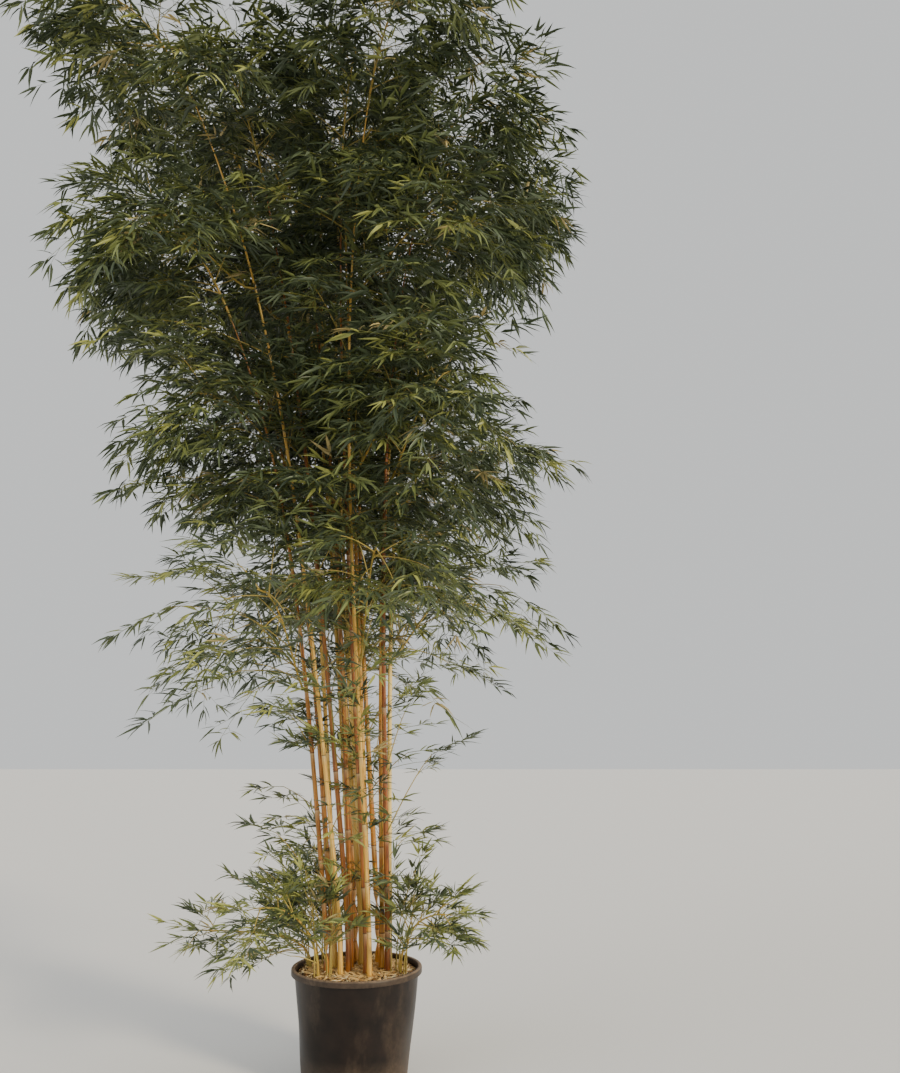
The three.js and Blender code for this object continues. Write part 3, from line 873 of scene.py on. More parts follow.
def make_tube_tree():
    """Sweeps a circle along every path, as thick as the points' thickness attribute says."""
    tree, given = new_tree("tubes_along_paths", Sides="Int", Material="Material")
    marked = {
        "Geometry": add_node(tree, "GeometryNodeCurvePrimitiveCircle", {"Resolution": given["Sides"]}),
        "Name": "around",
        "Value": add_node(tree, "GeometryNodeInputPosition"),
    }
    swept = {
        "Curve": add_node(tree, "GeometryNodeMeshToCurve", {"Mesh": given["Geometry"]}),
        "Profile Curve": add_node(tree, "GeometryNodeStoreNamedAttribute", marked, data_type="FLOAT_VECTOR"),
        "Scale": attribute(tree, "thickness", "FLOAT"),
        "Fill Caps": True,
    }
    return end_tree(tree, add_node(tree, "GeometryNodeCurveToMesh", swept), given)


tube_tree = make_tube_tree()
print("tube tree:", len(tube_tree.nodes), "nodes")

# %% [markdown]
# ## From a tree to a piece
# A geometry tree works as a modifier on a base object, here a mesh of points that carry numbers by name.
# The modifier's inputs are set by the identifiers of their sockets, which have to be right before the
# base is first evaluated. What comes out is copied to a plain mesh, and the modifier goes again.

# %% From a tree to a piece


def new_mesh(name, points, edges=(), faces=()):
    """A mesh from points, edges and faces."""
    mesh = bpy.data.meshes.new(name)
    mesh.from_pydata(points, edges, faces)
    return mesh


def add_object(name, data, material=None):
    """Puts a mesh, a lamp or a camera in the scene as an object at the origin."""
    made = bpy.data.objects.new(name, data)
    bpy.context.scene.collection.objects.link(made)
    if material:
        data.materials.clear()
        data.materials.append(material)
    return made


def evaluated_mesh(base):
    """The plain mesh that an object's modifiers make of it."""
    depsgraph = bpy.context.evaluated_depsgraph_get()
    return bpy.data.meshes.new_from_object(base.evaluated_get(depsgraph), depsgraph=depsgraph)


def input_sockets(tree):
    """The identifiers of a tree's inputs by their names."""
    return {item.name: item.identifier for item in tree.interface.items_tree if item.in_out == "INPUT"}


def grown(name, base, tree, values):
    """The piece that a geometry tree makes of a base, whose modifier is removed again."""
    modifier = base.modifiers.new("grow", "NODES")
    modifier.node_group = tree
    for title, value in values.items():
        modifier[input_sockets(tree)[title]] = value
    mesh = evaluated_mesh(base)
    base.modifiers.remove(modifier)
    mesh.name = name
    return add_object(name, mesh, values["Material"])


def grown_on(name, mesh, attributes, tree, values):
    """The piece that a tree makes of a mesh, whose points carry numbers or vectors by name."""
    for title, numbers in attributes.items():
        kind, part = ("FLOAT_VECTOR", "vector") if numbers.ndim == 2 else ("FLOAT", "value")
        added = mesh.attributes.new(title, kind, "POINT")
        added.data.foreach_set(part, numbers.astype(np.float32).ravel())
    base = add_object("base", mesh)
    piece = grown(name, base, tree, values)
    bpy.data.objects.remove(base)
    return piece


def tubes(name, paths, sides, material, **attributes):
    """A piece of tubes along open paths, from an array of paths by points, with numbers for the points."""
    count, steps = paths.shape[:2]
    first = np.arange(count)[:, None] * steps + np.arange(steps - 1)
    mesh = new_mesh("paths", paths.reshape(-1, 3), np.stack([first, first + 1], axis=-1).reshape(-1, 2))
    numbers = {key: np.broadcast_to(values, (count, steps)).ravel() for key, values in attributes.items()}
    return grown_on(name, mesh, numbers, tube_tree, {"Sides": sides, "Material": material})


print("the tube tree's inputs:", input_sockets(tube_tree))

# %% [markdown]
# ## The scatter tree
# Leaves repeat by the tens of thousands. Their faces could be written by the script, but a second tree
# does it faster and is easy to read: it sets a copy of one small shape on every point, and each point says
# which way its copy points, which way its face looks, and how large it is.

# %% The scatter tree


def set_copies(tree, given, points, turned, size):
    """Copies of the given shape on points."""
    shape = add_node(tree, "GeometryNodeObjectInfo", {"Object": given["Shape"]}, "Geometry")
    places = {"Points": points, "Instance": shape, "Rotation": turned, "Scale": size}
    return add_node(tree, "GeometryNodeInstanceOnPoints", places)


def make_scatter_tree():
    """Sets an object on every point, turned and sized as the points' attributes say."""
    tree, given = new_tree("shape_on_points", Shape="Object", Material="Material")
    axes = {"Primary Axis": attribute(tree, "direction"), "Secondary Axis": attribute(tree, "facing")}
    turned = add_node(tree, "FunctionNodeAxesToRotation", axes, primary_axis="Y", secondary_axis="Z")
    copies = set_copies(tree, given, given["Geometry"], turned, attribute(tree, "size"))
    return end_tree(tree, copies, given)


scatter_tree = make_scatter_tree()


def scattered(name, shape, material, places, **attributes):
    """A piece made of copies of a shape at many places, with vectors for each."""
    values = {"Shape": shape, "Material": material}
    return grown_on(name, new_mesh("points", places), attributes, scatter_tree, values)


print("scatter tree:", len(scatter_tree.nodes), "nodes")

# %% [markdown]
# ## One leaf
# A bamboo leaf is a narrow pointed blade, widest near its base, folded along its midrib and bent down at
# its tip. A flat card would look dead in side light, and a smooth blade would take too many triangles for
# so many leaves. This one shows the fold and the bend with eight.

# %% The shape of a leaf blade
# share of the length, half of the width, how far the midrib drops, how far the edges stand above it
BLADE_ROWS = [(0.25, 0.5, 0.0, 0.06), (0.62, 0.36, -0.05, 0.04)]
BLADE_TIP = (0, 1, -0.2)


def blade_shape():
    """One leaf of length and width 1 that points along +Y: rows of left edge, midrib and right edge."""
    points = [(0, 0, 0)]
    for along, half_width, drop, fold in BLADE_ROWS:
        points += [(-half_width, along, drop + fold), (0, along, drop), (half_width, along, drop + fold)]
    faces = [(0, 2, 1), (0, 3, 2), (1, 2, 5, 4), (2, 3, 6, 5), (4, 5, 7), (5, 6, 7)]
    return add_object("blade_shape", new_mesh("blade_shape", [*points, BLADE_TIP], faces=faces))


blade = blade_shape()
print("a leaf has", sum(len(face.vertices) - 2 for face in blade.data.polygons), "triangles")

# %% [markdown]
# ## The camera
# The camera stands where the photo was taken from, at eye height in front of the plant, and looks a
# little up along the canes. Place, tilt and lens were worked out from the photo's perspective.

# %% Camera
CAMERA_PLACE = (0.415, -4.34, 1.45)
CAMERA_RISE = 12.62
LENS = 30.2
SENSOR = 36

camera_data = bpy.data.cameras.new("camera")
camera_data.lens = LENS
camera_data.sensor_width = SENSOR
camera = add_object("camera", camera_data)
camera.location = CAMERA_PLACE
camera.rotation_euler = (math.radians(90 + CAMERA_RISE), 0, 0)
bpy.context.scene.camera = camera
print("camera at", CAMERA_PLACE, "tilted up by", CAMERA_RISE, "degrees")

# %% [markdown]
# ## Colours and plain finishes
# Colours are written as the sRGB hex values that a picture shows, and one function turns them to the
# linear values that Blender works with. The simplest finish has one colour and one roughness.

# %% Colours and plain finishes


def linear(hex_colour):
    """The linear RGBA of an sRGB hex colour such as "c89b3c"."""
    shares = [int(hex_colour[i : i + 2], 16) / 255 for i in (0, 2, 4)]
    return [s / 12.92 if s <= 0.04045 else ((s + 0.055) / 1.055) ** 2.4 for s in shares] + [1.0]


def new_material(name):
    """A material with its Principled shader, as (material, tree, shader)."""
    material = bpy.data.materials.new(name)
    material.use_nodes = True
    return material, material.node_tree, material.node_tree.nodes["Principled BSDF"]


def plain_finish(name, hex_colour, roughness):
    """A finish of one colour, for a plain floor and for bits too small to have a pattern of their own."""
    material, tree, shader = new_material(name)
    feed(tree, shader, {"Base Color": linear(hex_colour), "Roughness": roughness})
    return material


print("middle grey, 808080, is linear", [round(share, 3) for share in linear("808080")[:3]])

# %% [markdown]
# ## Floor and light
# The floor is plain and pale. Area lamps would light a plant this tall unevenly, so a pale world and
# three wide sun lamps make the soft studio light. The key light is warm and comes from the right front, as
# the photo's light does. A cool fill from the left and a white light from behind keep the shaded leaves
# readable.

# %% Floor and light
FLOOR_HALF = 40
WORLD_STRENGTH = 0.9
# name, place that it shines from, strength, width in degrees, colour
LIGHTS = [
    ("key_light", (7, -6, 3.4), 3.2, 12, "fff0d2"),
    ("fill_light", (-6, -4, 4), 0.5, 40, "eef3ff"),
    ("back_light", (2, 6, 6), 0.6, 40, "ffffff"),
]

corners = [(x * FLOOR_HALF, y * FLOOR_HALF, 0) for x, y in ((-1, -1), (1, -1), (1, 1), (-1, 1))]
floor_mesh = new_mesh("floor", corners, faces=[(0, 1, 2, 3)])
material = plain_finish("studio_floor", "dcdad6", 0.9)
add_object("floor", floor_mesh, material)

world = bpy.data.worlds.new("studio")
world.use_nodes = True
background = world.node_tree.nodes["Background"]
feed(world.node_tree, background, {"Color": linear("eceeee"), "Strength": WORLD_STRENGTH})
bpy.context.scene.world = world

for name, place, strength, width, hex_colour in LIGHTS:
    data = bpy.data.lights.new(name, "SUN")
    data.energy = strength
    data.angle = math.radians(width)
    data.color = linear(hex_colour)[:3]
    lamp = add_object(name, data)
    lamp.location = place
    lamp.rotation_euler = Vector(place).to_track_quat("Z", "Y").to_euler()
print("floor:", 2 * FLOOR_HALF, "m wide, under", len(LIGHTS), "lights")

# %% [markdown]
# ## The pot
# The real pot is thin black plastic, blown or moulded in one piece, with a lip that is turned down round
# its top. A cylinder could be pushed into shape, but a profile spun round the axis is rounder and holds
# all its sizes in one list. The wall is pushed in and out by a few millimetres, as such a thin wall is by
# the soil behind it and the hands that moved it.

# %% Sizes of the pot
POT_HEIGHT = 460 * MM
POT_TOP_RADIUS = 290 * MM
POT_FOOT_RADIUS = 228 * MM
POT_WALL = 4 * MM
LIP_HEIGHT = 26 * MM
LIP_OVERHANG = 13 * MM
POT_SIDES = 128
DRAIN_HOLES = 8
DRAIN_WIDTH = 34 * MM
DRAIN_HEIGHT = 22 * MM
LIP_FOOT = POT_HEIGHT - LIP_HEIGHT
LIP_UNDERSIDE = POT_HEIGHT - POT_WALL
print("pot:", POT_HEIGHT, "m high,", 2 * POT_TOP_RADIUS, "m across its lip")

# %% [markdown]
# ## Turned shapes
# A turned shape starts as a list of corners in the plane of radius and height. Each corner gets a short
# arc, as a moulding has no sharp edge, long stretches get rows in between so that they can be dented, and
# the lot is spun.

# %% Turned shapes
LONGEST_ROW = 22 * MM
ARC_STEPS = 4


def mesh_of(body, name):
    """The mesh that a bmesh makes, which is then freed."""
    mesh = bpy.data.meshes.new(name)
    body.to_mesh(mesh)
    body.free()
    return mesh


def spun(name, profile, sides, shift=None):
    """A closed turned mesh from a profile of (radius, height) that starts and ends on the axis."""
    angles = np.arange(sides) * 2 * np.pi / sides
    body = bmesh.new()
    rings = []
    for radius, height in profile[1:-1]:
        radii = radius + (shift(angles, height) if shift else 0 * angles)
        places = zip(radii * np.cos(angles), radii * np.sin(angles))
        rings.append([body.verts.new((x, y, height)) for x, y in places])
    first, last = (body.verts.new((0, 0, profile[i][1])) for i in (0, -1))
    for lower, upper in zip(rings, rings[1:]):
        for i in range(sides):
            body.faces.new((lower[i - 1], lower[i], upper[i], upper[i - 1]))
    for i in range(sides):
        body.faces.new((first, rings[0][i], rings[0][i - 1]))
        body.faces.new((last, rings[-1][i - 1], rings[-1][i]))
    bmesh.ops.recalc_face_normals(body, faces=body.faces)
    mesh = mesh_of(body, name)
    mesh.polygons.foreach_set("use_smooth", [True] * len(mesh.polygons))
    return mesh


def rounded_profile(corners, longest=LONGEST_ROW):
    """A profile through (radius, height, rounding) corners, each a short arc, with rows between."""
    points = [np.array(corners[0][:2])]
    for before, corner, after in zip(corners, corners[1:], corners[2:]):
        middle = np.array(corner[:2])
        arms = [np.array(other[:2]) - middle for other in (before, after)]
        reach = [min(corner[2], np.linalg.norm(arm) / 2) for arm in arms]
        start, end = (middle + unit(arm) * r for arm, r in zip(arms, reach))
        for t in np.linspace(0, 1, ARC_STEPS + 1):
            points.append(mix(mix(start, middle, t), mix(middle, end, t), t))
    points.append(np.array(corners[-1][:2]))
    rows = [points[0]]
    for a, b in zip(points, points[1:]):
        parts = max(1, math.ceil(np.linalg.norm(b - a) / longest))
        rows += [mix(a, b, (i + 1) / parts) for i in range(parts)]
    return rows


one_corner = rounded_profile([(0, 0, 0), (1, 0, 0.5), (1, 1, 0)], longest=1)
print("points round one corner, with both ends:", len(one_corner))

# %% [markdown]
# ## The pot's wall
# The wall is four millimetres thick here, tapers to the foot, and ends in the lip that hangs down outside
# it. A few slow waves round and up the wall push it in and out, most at half its height, where nothing
# stiffens it.

# %% The wall and its dents
DENT = 2.4 * MM
DENT_SEED = 7
# waves round the pot, and how quickly each changes with height
DENT_WAVES = [(2, 4), (3, 9), (5, 6), (7, 14)]

wall_top = POT_TOP_RADIUS - LIP_OVERHANG
# radius, height and rounding of each corner, up the outside, round the lip and down the inside
pot_profile = rounded_profile([
    (0, 0, 0),
    (POT_FOOT_RADIUS, 0, 7 * MM),
    (wall_top, LIP_UNDERSIDE, 1 * MM),
    (POT_TOP_RADIUS - POT_WALL, LIP_UNDERSIDE, 3 * MM),
    (POT_TOP_RADIUS - POT_WALL, LIP_FOOT, 1 * MM),
    (POT_TOP_RADIUS, LIP_FOOT, 1 * MM),
    (POT_TOP_RADIUS, POT_HEIGHT, 9 * MM),
    (wall_top - POT_WALL, POT_HEIGHT, 5 * MM),
    (POT_FOOT_RADIUS - POT_WALL, POT_WALL, 4 * MM),
    (0, POT_WALL, 0),
])
dent_random = np.random.default_rng(DENT_SEED)
dent_waves = [(turns, climb, *dent_random.uniform(0, 2 * math.pi, 2)) for turns, climb in DENT_WAVES]


def dent(angles, height):
    """How far the thin wall is pushed in or out, which fades out at the foot and the lip."""
    fade = math.sin(math.pi * min(1, max(0, height / LIP_FOOT)))
    waves = sum(np.sin(n * angles + a) * math.sin(k * height + b) for n, k, a, b in dent_waves)
    return DENT * fade * waves


pot_mesh = spun("pot_wall", pot_profile, POT_SIDES, dent)
pot_wall = add_object("pot_wall", pot_mesh)
print("pot wall before its holes:", len(pot_mesh.polygons), "faces")

# %% [markdown]
# ## The drain holes
# Water drains through slots with round corners, low in the wall where it meets the floor. They could be
# left open face by face, but cutting them is simpler: a block with rounded edges and one Boolean step for
# each, all applied together.

# %% Cut the drain holes
DRAIN_CORNER = 6 * MM
cutters = []
for i in range(DRAIN_HOLES):
    body = bmesh.new()
    bmesh.ops.create_cube(body, size=1)
    bmesh.ops.scale(body, vec=(2 * DRAIN_WIDTH, DRAIN_WIDTH, DRAIN_HEIGHT), verts=body.verts)
    upright = [edge for edge in body.edges if abs(edge.verts[0].co.x - edge.verts[1].co.x) > DRAIN_WIDTH]
    bmesh.ops.bevel(body, geom=upright, offset=DRAIN_CORNER, segments=4, affect="EDGES", profile=0.5)
    bmesh.ops.translate(body, vec=(POT_FOOT_RADIUS, 0, DRAIN_HEIGHT / 2 + 2 * POT_WALL), verts=body.verts)
    turn = (i + 0.5) * 2 * math.pi / DRAIN_HOLES
    bmesh.ops.rotate(body, cent=(0, 0, 0), matrix=Matrix.Rotation(turn, 3, "Z"), verts=body.verts)
    cutters.append(add_object("cutter", mesh_of(body, "cutter")))
    cut = pot_wall.modifiers.new("drain_hole", "BOOLEAN")
    cut.operation = "DIFFERENCE"
    cut.solver = "EXACT"
    cut.object = cutters[-1]
cut_mesh = evaluated_mesh(pot_wall)
pot_wall.modifiers.clear()
pot_wall.data = cut_mesh
for cutter in cutters:
    bpy.data.objects.remove(cutter)
print("pot wall:", len(pot_wall.data.polygons), "faces with its", DRAIN_HOLES, "drain holes")

# %% [markdown]
# ## Patterns for surfaces
# Real surfaces vary in patches: dust, streaks, grain. Each pattern here is noise or height, mapped to a
# range and used to blend two colours. These few functions build all of that for the pot and the canes.

# %% Patterns for surfaces


def noise_at(tree, place, scale, detail, roughness):
    """Noise at a place, from 0 to 1."""
    values = {"Vector": place, "Scale": scale, "Detail": detail, "Roughness": roughness}
    return add_node(tree, "ShaderNodeTexNoise", values, "Fac")


def object_noise(tree, scale, detail=3, roughness=0.55, stretch=(1, 1, 1)):
    """Noise in the object's own metres, stretched along the axes."""
    place = add_node(tree, "ShaderNodeTexCoord", output="Object")
    stretched = add_node(tree, "ShaderNodeMapping", {"Vector": place, "Scale": stretch})
    return noise_at(tree, stretched, scale, detail, roughness)


def ranged(tree, value, low, high, to_low=0.0, to_high=1.0):
    """A value mapped from one range to another, and held inside it."""
    ends = {"Value": value, "From Min": low, "From Max": high, "To Min": to_low, "To Max": to_high}
    return add_node(tree, "ShaderNodeMapRange", ends, clamp=True)


def colour_ramp(tree, factor, stops):
    """A ramp through (position, hex colour) stops, and its colour output."""
    colour = add_node(tree, "ShaderNodeValToRGB", {"Fac": factor}, "Color")
    elements = colour.node.color_ramp.elements
    while len(elements) < len(stops):
        elements.new(0.5)
    for element, (position, hex_colour) in zip(elements, stops):
        element.position = position
        element.color = linear(hex_colour)
    return colour


def blended(tree, factor, a, b):
    """Two colours mixed by a factor."""
    return add_node(tree, "ShaderNodeMix", {"Factor": factor, "A": a, "B": b}, data_type="RGBA")


def summed(tree, a, b, operation="ADD"):
    """Two values put together by a sum."""
    return add_node(tree, "ShaderNodeMath", {0: a, 1: b}, operation=operation)


def times(tree, a, b):
    """The product of two values."""
    return summed(tree, a, b, "MULTIPLY")


def relief(tree, height, depth, strength):
    """Fine relief of a depth in metres, for a shader's Normal."""
    return add_node(tree, "ShaderNodeBump", {"Height": height, "Distance": depth, "Strength": strength})


print("patterns: noise, ranges, ramps, blends, sums, products and relief")

# %% [markdown]
# ## Pieces on the body
# A finished piece rides on the plant's one body, so that it moves with it, and the solids that it stands
# for are hidden.

# %% Finish a piece
BODY = "root"


def finish_piece(piece, nodes=()):
    """Lets a piece ride on the plant's one body and hides the solids that it stands for."""
    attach(piece, BODY)
    if nodes:
        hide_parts(*nodes)
    triangles = sum(len(face.vertices) - 2 for face in piece.data.polygons)
    print(piece.name, triangles, "triangles")


# %% [markdown]
# ## The pot's plastic
# Nursery pots are moulded from black recycled polyethylene. It isn't pure black: the lip is rubbed and
# dusty, dry soil has run down the wall, and the moulding leaves a fine grain. The lip and its top edge are
# also paler as a painted highlight of the light that falls on them. A painted image could show that. Here
# dust and the lip's painted highlight are a second colour laid on by noise and by height, so that they need
# no image, and it takes the gloss away where it lies.

# %% Dusty black polyethylene, with a painted highlight on its lip
# height or noise where each pale layer starts and where it is thickest, and how much lies at either;
# the layers at the rim and on the lip are dust and painted highlight together
RIM_DUST_AND_HIGHLIGHT = (POT_HEIGHT - 6 * MM, POT_HEIGHT - 1 * MM, 0, 0.7)
FOOT_DUST = (140 * MM, 0.0, 0, 0.3)
LIP_DUST_AND_HIGHLIGHT = (LIP_FOOT, LIP_FOOT + 3 * MM, 0, 0.16)
DRY_RUNS = (0.54, 0.85, 0, 0.24)
DUST_AND_HIGHLIGHT_PATCHES = (0.3, 0.75, 0.35, 1)
DULLING = (0, 0.7, 0.36, 0.85)
# patches to a metre, how fine the noise is, how rough, and how it is stretched
RUN_NOISE = (7, 5, 0.6, (1, 1, 0.35))
PATCH_NOISE = (60, 4, 0.7)
WALL_NOISE = (14, 4)
GRAIN_NOISE = (420, 3)
GRAIN_DEPTH = 0.25 * MM
WALL_STOPS = [(0.3, "120c09"), (0.7, "221813")]
DUST_AND_HIGHLIGHT_COLOUR = "a68e76"

pot_plastic, tree, shader = new_material("dusty_black_polyethylene_with_painted_lip_highlight")
place = add_node(tree, "ShaderNodeTexCoord", output="Object")
height = add_node(tree, "ShaderNodeSeparateXYZ", {"Vector": place}, "Z")
runs = object_noise(tree, *RUN_NOISE)
# the lip's top edge is paler: partly dust, partly a painted highlight where the light catches the rim
dust_and_highlight = ranged(tree, height, *RIM_DUST_AND_HIGHLIGHT)
for pattern, dust_and_highlight_range in ((height, FOOT_DUST), (height, LIP_DUST_AND_HIGHLIGHT), (runs, DRY_RUNS)):
    dust_and_highlight = summed(tree, dust_and_highlight, ranged(tree, pattern, *dust_and_highlight_range))
dust_and_highlight = times(tree, dust_and_highlight, ranged(tree, object_noise(tree, *PATCH_NOISE), *DUST_AND_HIGHLIGHT_PATCHES))
wall_colour = colour_ramp(tree, object_noise(tree, *WALL_NOISE), WALL_STOPS)
feed(tree, shader, {
    "Base Color": blended(tree, dust_and_highlight, wall_colour, linear(DUST_AND_HIGHLIGHT_COLOUR)),
    "Roughness": ranged(tree, dust_and_highlight, *DULLING),
    "Normal": relief(tree, object_noise(tree, *GRAIN_NOISE), GRAIN_DEPTH, 0.5),
    "Specular IOR Level": 0.3,
})
pot_wall.data.materials.clear()
pot_wall.data.materials.append(pot_plastic)
finish_piece(pot_wall, ["pot"])

# %% [markdown]
# ## The soil
# The pot is filled with dark bark mix, which shows between a golden litter of dry leaves, sheaths and
# chips. A flat disc would do from afar, but the litter has to lie on something uneven, so the soil is a
# turned body whose top is raised and sunk by noise. Its crumbs are cells of a pattern, light and dark.

# %% The soil
SOIL_EDGE_DROP = 14 * MM
SOIL_FLAT_RADIUS = 230 * MM
SOIL_SIDES = 96
SOIL_ROOM = 3 * GAP
SOIL_BUMP = 5 * MM
BUMPS_PER_METRE = 35
# how smooth, how much finer each layer is, how many layers
BUMP_LAYERS = (0.6, 2.0, 4)
CRUMBS_PER_METRE = 160.0
CRUMB_RELIEF = 3 * MM
CRUMB_STOPS = [(0.0, "1c130d"), (0.45, "33241a"), (0.8, "543a26"), (1.0, "7d5c3a")]
SOIL_ROUGHNESS = 0.92


def soil_reach(height):
    """How far the soil reaches at a height, just inside the wall."""
    share = (height - POT_WALL) / (POT_HEIGHT - POT_WALL)
    return mix(POT_FOOT_RADIUS, POT_TOP_RADIUS - LIP_OVERHANG, share) - POT_WALL - SOIL_ROOM


soil_bottom = POT_WALL + GAP
soil_edge = SOIL_TOP - SOIL_EDGE_DROP
soil_profile = rounded_profile([
    (0, soil_bottom, 0),
    (soil_reach(soil_bottom), soil_bottom, 3 * MM),
    (soil_reach(soil_edge), soil_edge, 2 * MM),
    (SOIL_FLAT_RADIUS, SOIL_TOP, 30 * MM),
    (0, SOIL_TOP, 0),
], longest=8 * MM)
soil_mesh = spun("potting_mix", soil_profile, SOIL_SIDES)
for vertex in soil_mesh.vertices:
    if vertex.co.z > soil_edge - 1 * MM:
        vertex.co.z += SOIL_BUMP * noise.fractal(vertex.co * BUMPS_PER_METRE, *BUMP_LAYERS)
soil = add_object("potting_mix", soil_mesh)

bark_mix, tree, shader = new_material("damp_bark_potting_mix")
place = add_node(tree, "ShaderNodeTexCoord", output="Object")
crumbs = add_node(tree, "ShaderNodeTexVoronoi", {"Vector": place, "Scale": CRUMBS_PER_METRE}, "Color")
crumb_tone = add_node(tree, "ShaderNodeSeparateXYZ", {"Vector": crumbs}, "X")
feed(tree, shader, {
    "Base Color": colour_ramp(tree, crumb_tone, CRUMB_STOPS),
    "Roughness": SOIL_ROUGHNESS,
    "Normal": relief(tree, crumbs.node.outputs["Distance"], CRUMB_RELIEF, 0.9),
})
soil.data.materials.append(bark_mix)
finish_piece(soil, ["soil"])

# %% [markdown]
# ## The litter tree
# Dry leaves, sheaths and chips fall on the soil and lie nearly flat at any turn. Laid by hand they would
# look arranged. One geometry tree scatters a shape over the soil's upward faces, within a reach that keeps
# it off the wall, with named inputs for how many and how big and a fixed seed, so that it is used again
# for each kind of bit.

# %% The litter tree
UPWARD_ENOUGH = 0.4
LITTER_ROUGHNESS = 0.8


def make_litter_tree():
    """Scatters a shape over the upward faces of a surface, lying flat at any turn, a little tilted."""
    sizes = dict.fromkeys(["Density", "Smallest", "Largest", "Tilt", "Reach"], "Float")
    tree, given = new_tree("litter_on_soil", **sizes, Shape="Object", Seed="Int", Material="Material")
    facing = add_node(tree, "GeometryNodeInputNormal")
    upward = add_node(tree, "ShaderNodeSeparateXYZ", {"Vector": facing}, "Z")
    is_top = summed(tree, upward, UPWARD_ENOUGH, "GREATER_THAN")
    place = add_node(tree, "GeometryNodeInputPosition")
    flat = add_node(tree, "ShaderNodeVectorMath", {0: place, 1: (1, 1, 0)}, operation="MULTIPLY")
    distance = add_node(tree, "ShaderNodeVectorMath", {0: flat}, "Value", operation="LENGTH")
    is_near = summed(tree, distance, given["Reach"], "LESS_THAN")
    spots = add_node(tree, "GeometryNodeDistributePointsOnFaces", {
        "Mesh": given["Geometry"], "Selection": times(tree, is_top, is_near),
        "Density": given["Density"], "Seed": given["Seed"],
    }, "Points")

    def drawn(low, high, seed_step):
        seed = summed(tree, given["Seed"], seed_step)
        return add_node(tree, "FunctionNodeRandomValue", {"Min": low, "Max": high, "Seed": seed})

    tilt_down = times(tree, given["Tilt"], -1)
    angles = add_node(tree, "ShaderNodeCombineXYZ", {
        "X": drawn(tilt_down, given["Tilt"], 1),
        "Y": drawn(tilt_down, given["Tilt"], 2),
        "Z": drawn(0.0, 2 * math.pi, 3),
    })
    turned = add_node(tree, "FunctionNodeEulerToRotation", {"Euler": angles})
    size = drawn(given["Smallest"], given["Largest"], 4)
    return end_tree(tree, set_copies(tree, given, spots, turned, size), given)


litter_tree = make_litter_tree()
print("litter tree:", len(litter_tree.nodes), "nodes")

# %% [markdown]
# ## The litter
# A bark chip is a flat splinter of length 1, and a dry leaf is a thin blade of length 1 that curls up at
# both ends. They have few faces, as thousands of them lie there. Six lots in six tones give the speckled
# golden look.

# %% Scatter the litter


def shape_object(name, points, faces):
    """A helper object from points and faces, with its faces outward."""
    body = bmesh.new()
    body.from_mesh(new_mesh("drawn_shape", points, faces=faces))
    bmesh.ops.recalc_face_normals(body, faces=body.faces)
    return add_object(name, mesh_of(body, name))


chip_shape = shape_object(
    "chip_shape",
    [
        (-0.5, -0.08, 0), (-0.4, 0.13, 0), (0.5, 0.1, 0), (0.42, -0.14, 0), (-0.42, -0.03, 0.1),
        (0.38, 0.02, 0.12),
    ],
    [(0, 1, 2, 3), (0, 4, 1), (1, 4, 5, 2), (2, 5, 3), (3, 5, 4, 0)],
)
dry_leaf_shape = shape_object(
    "dry_leaf_shape",
    [
        (-0.5, 0, 0.12), (-0.3, -0.05, 0.06), (-0.3, 0.03, 0.08), (-0.05, -0.06, 0.03),
        (-0.05, 0.045, 0.07), (0.22, -0.035, 0.04), (0.22, 0.04, 0.08), (0.5, 0.03, 0.14),
    ],
    [(0, 1, 2), (1, 3, 4, 2), (3, 5, 6, 4), (5, 7, 6)],
)

CHIPS = {"shape": chip_shape, "tilt": 0.35, "reach": 0.255}
LEAVES = {"shape": dry_leaf_shape}
# name, shape and how it lies, pieces per square metre, smallest and largest length, seed, finish, colour
LITTER = [
    ("bark_chips", CHIPS, 5600, 8, 22, 11, "dark_bark_chips", "5a3c28"),
    ("reddish_chips", CHIPS, 2600, 8, 20, 15, "reddish_bark_chips", "a0664a"),
    ("pale_chips", CHIPS, 2600, 7, 18, 12, "dry_pale_sheath_chips", "c8a678"),
    ("fallen_leaves", {**LEAVES, "tilt": 0.14, "reach": 0.215}, 4400, 45, 95, 13,
     "dry_golden_fallen_leaves", "dcba7c"),
    ("straw_leaves", {**LEAVES, "tilt": 0.2, "reach": 0.243}, 3600, 25, 58, 14,
     "bleached_straw_leaves", "f0dfb6"),
    ("broken_leaves", {**LEAVES, "tilt": 0.3, "reach": 0.257}, 9000, 16, 32, 16,
     "broken_golden_leaves", "d8b06c"),
]
for name, kind, density, smallest, largest, seed, finish_name, colour in LITTER:
    piece = grown(name, soil, litter_tree, {
        "Shape": kind["shape"], "Tilt": kind["tilt"], "Reach": kind["reach"], "Density": float(density),
        "Smallest": smallest * MM, "Largest": largest * MM, "Seed": seed,
        "Material": plain_finish(finish_name, colour, LITTER_ROUGHNESS),
    })
    finish_piece(piece)

# %% [markdown]
# ## The canes
# A golden cane is smooth and glossy between its nodes. At each node it has a thin ridge where the sheath
# sat, a dark line under it, a rounder ring just above, and a band of pale wax below. Relief by shading
# alone would leave the outline straight. As a tube whose thickness changes row by row, all of that is true
# shape, and the same rows carry the values from which the material paints the dark line and the wax.

# %% The rows of a cane
# offset from the node in mm on a 12 mm cane, size against the cane, dark scar, pale wax
NODE_ROWS = [
    (-55, 1.0, 0, 0), (-16, 1.0, 0, 0.5), (-4, 1.01, 0, 1), (-2.2, 1.1, 0.5, 0.3), (-0.8, 1.13, 1, 0),
    (0.8, 1.04, 1, 0), (3, 1.06, 0, 0), (6.5, 1.09, 0, 0), (10, 1.05, 0, 0), (15, 1.0, 0, 0),
]
NODE_ROWS_RADIUS = 12 * MM
BETWEEN = [0.35, 0.65]
CANE_END_SIZE = 0.9
GREEN_SEED = 900


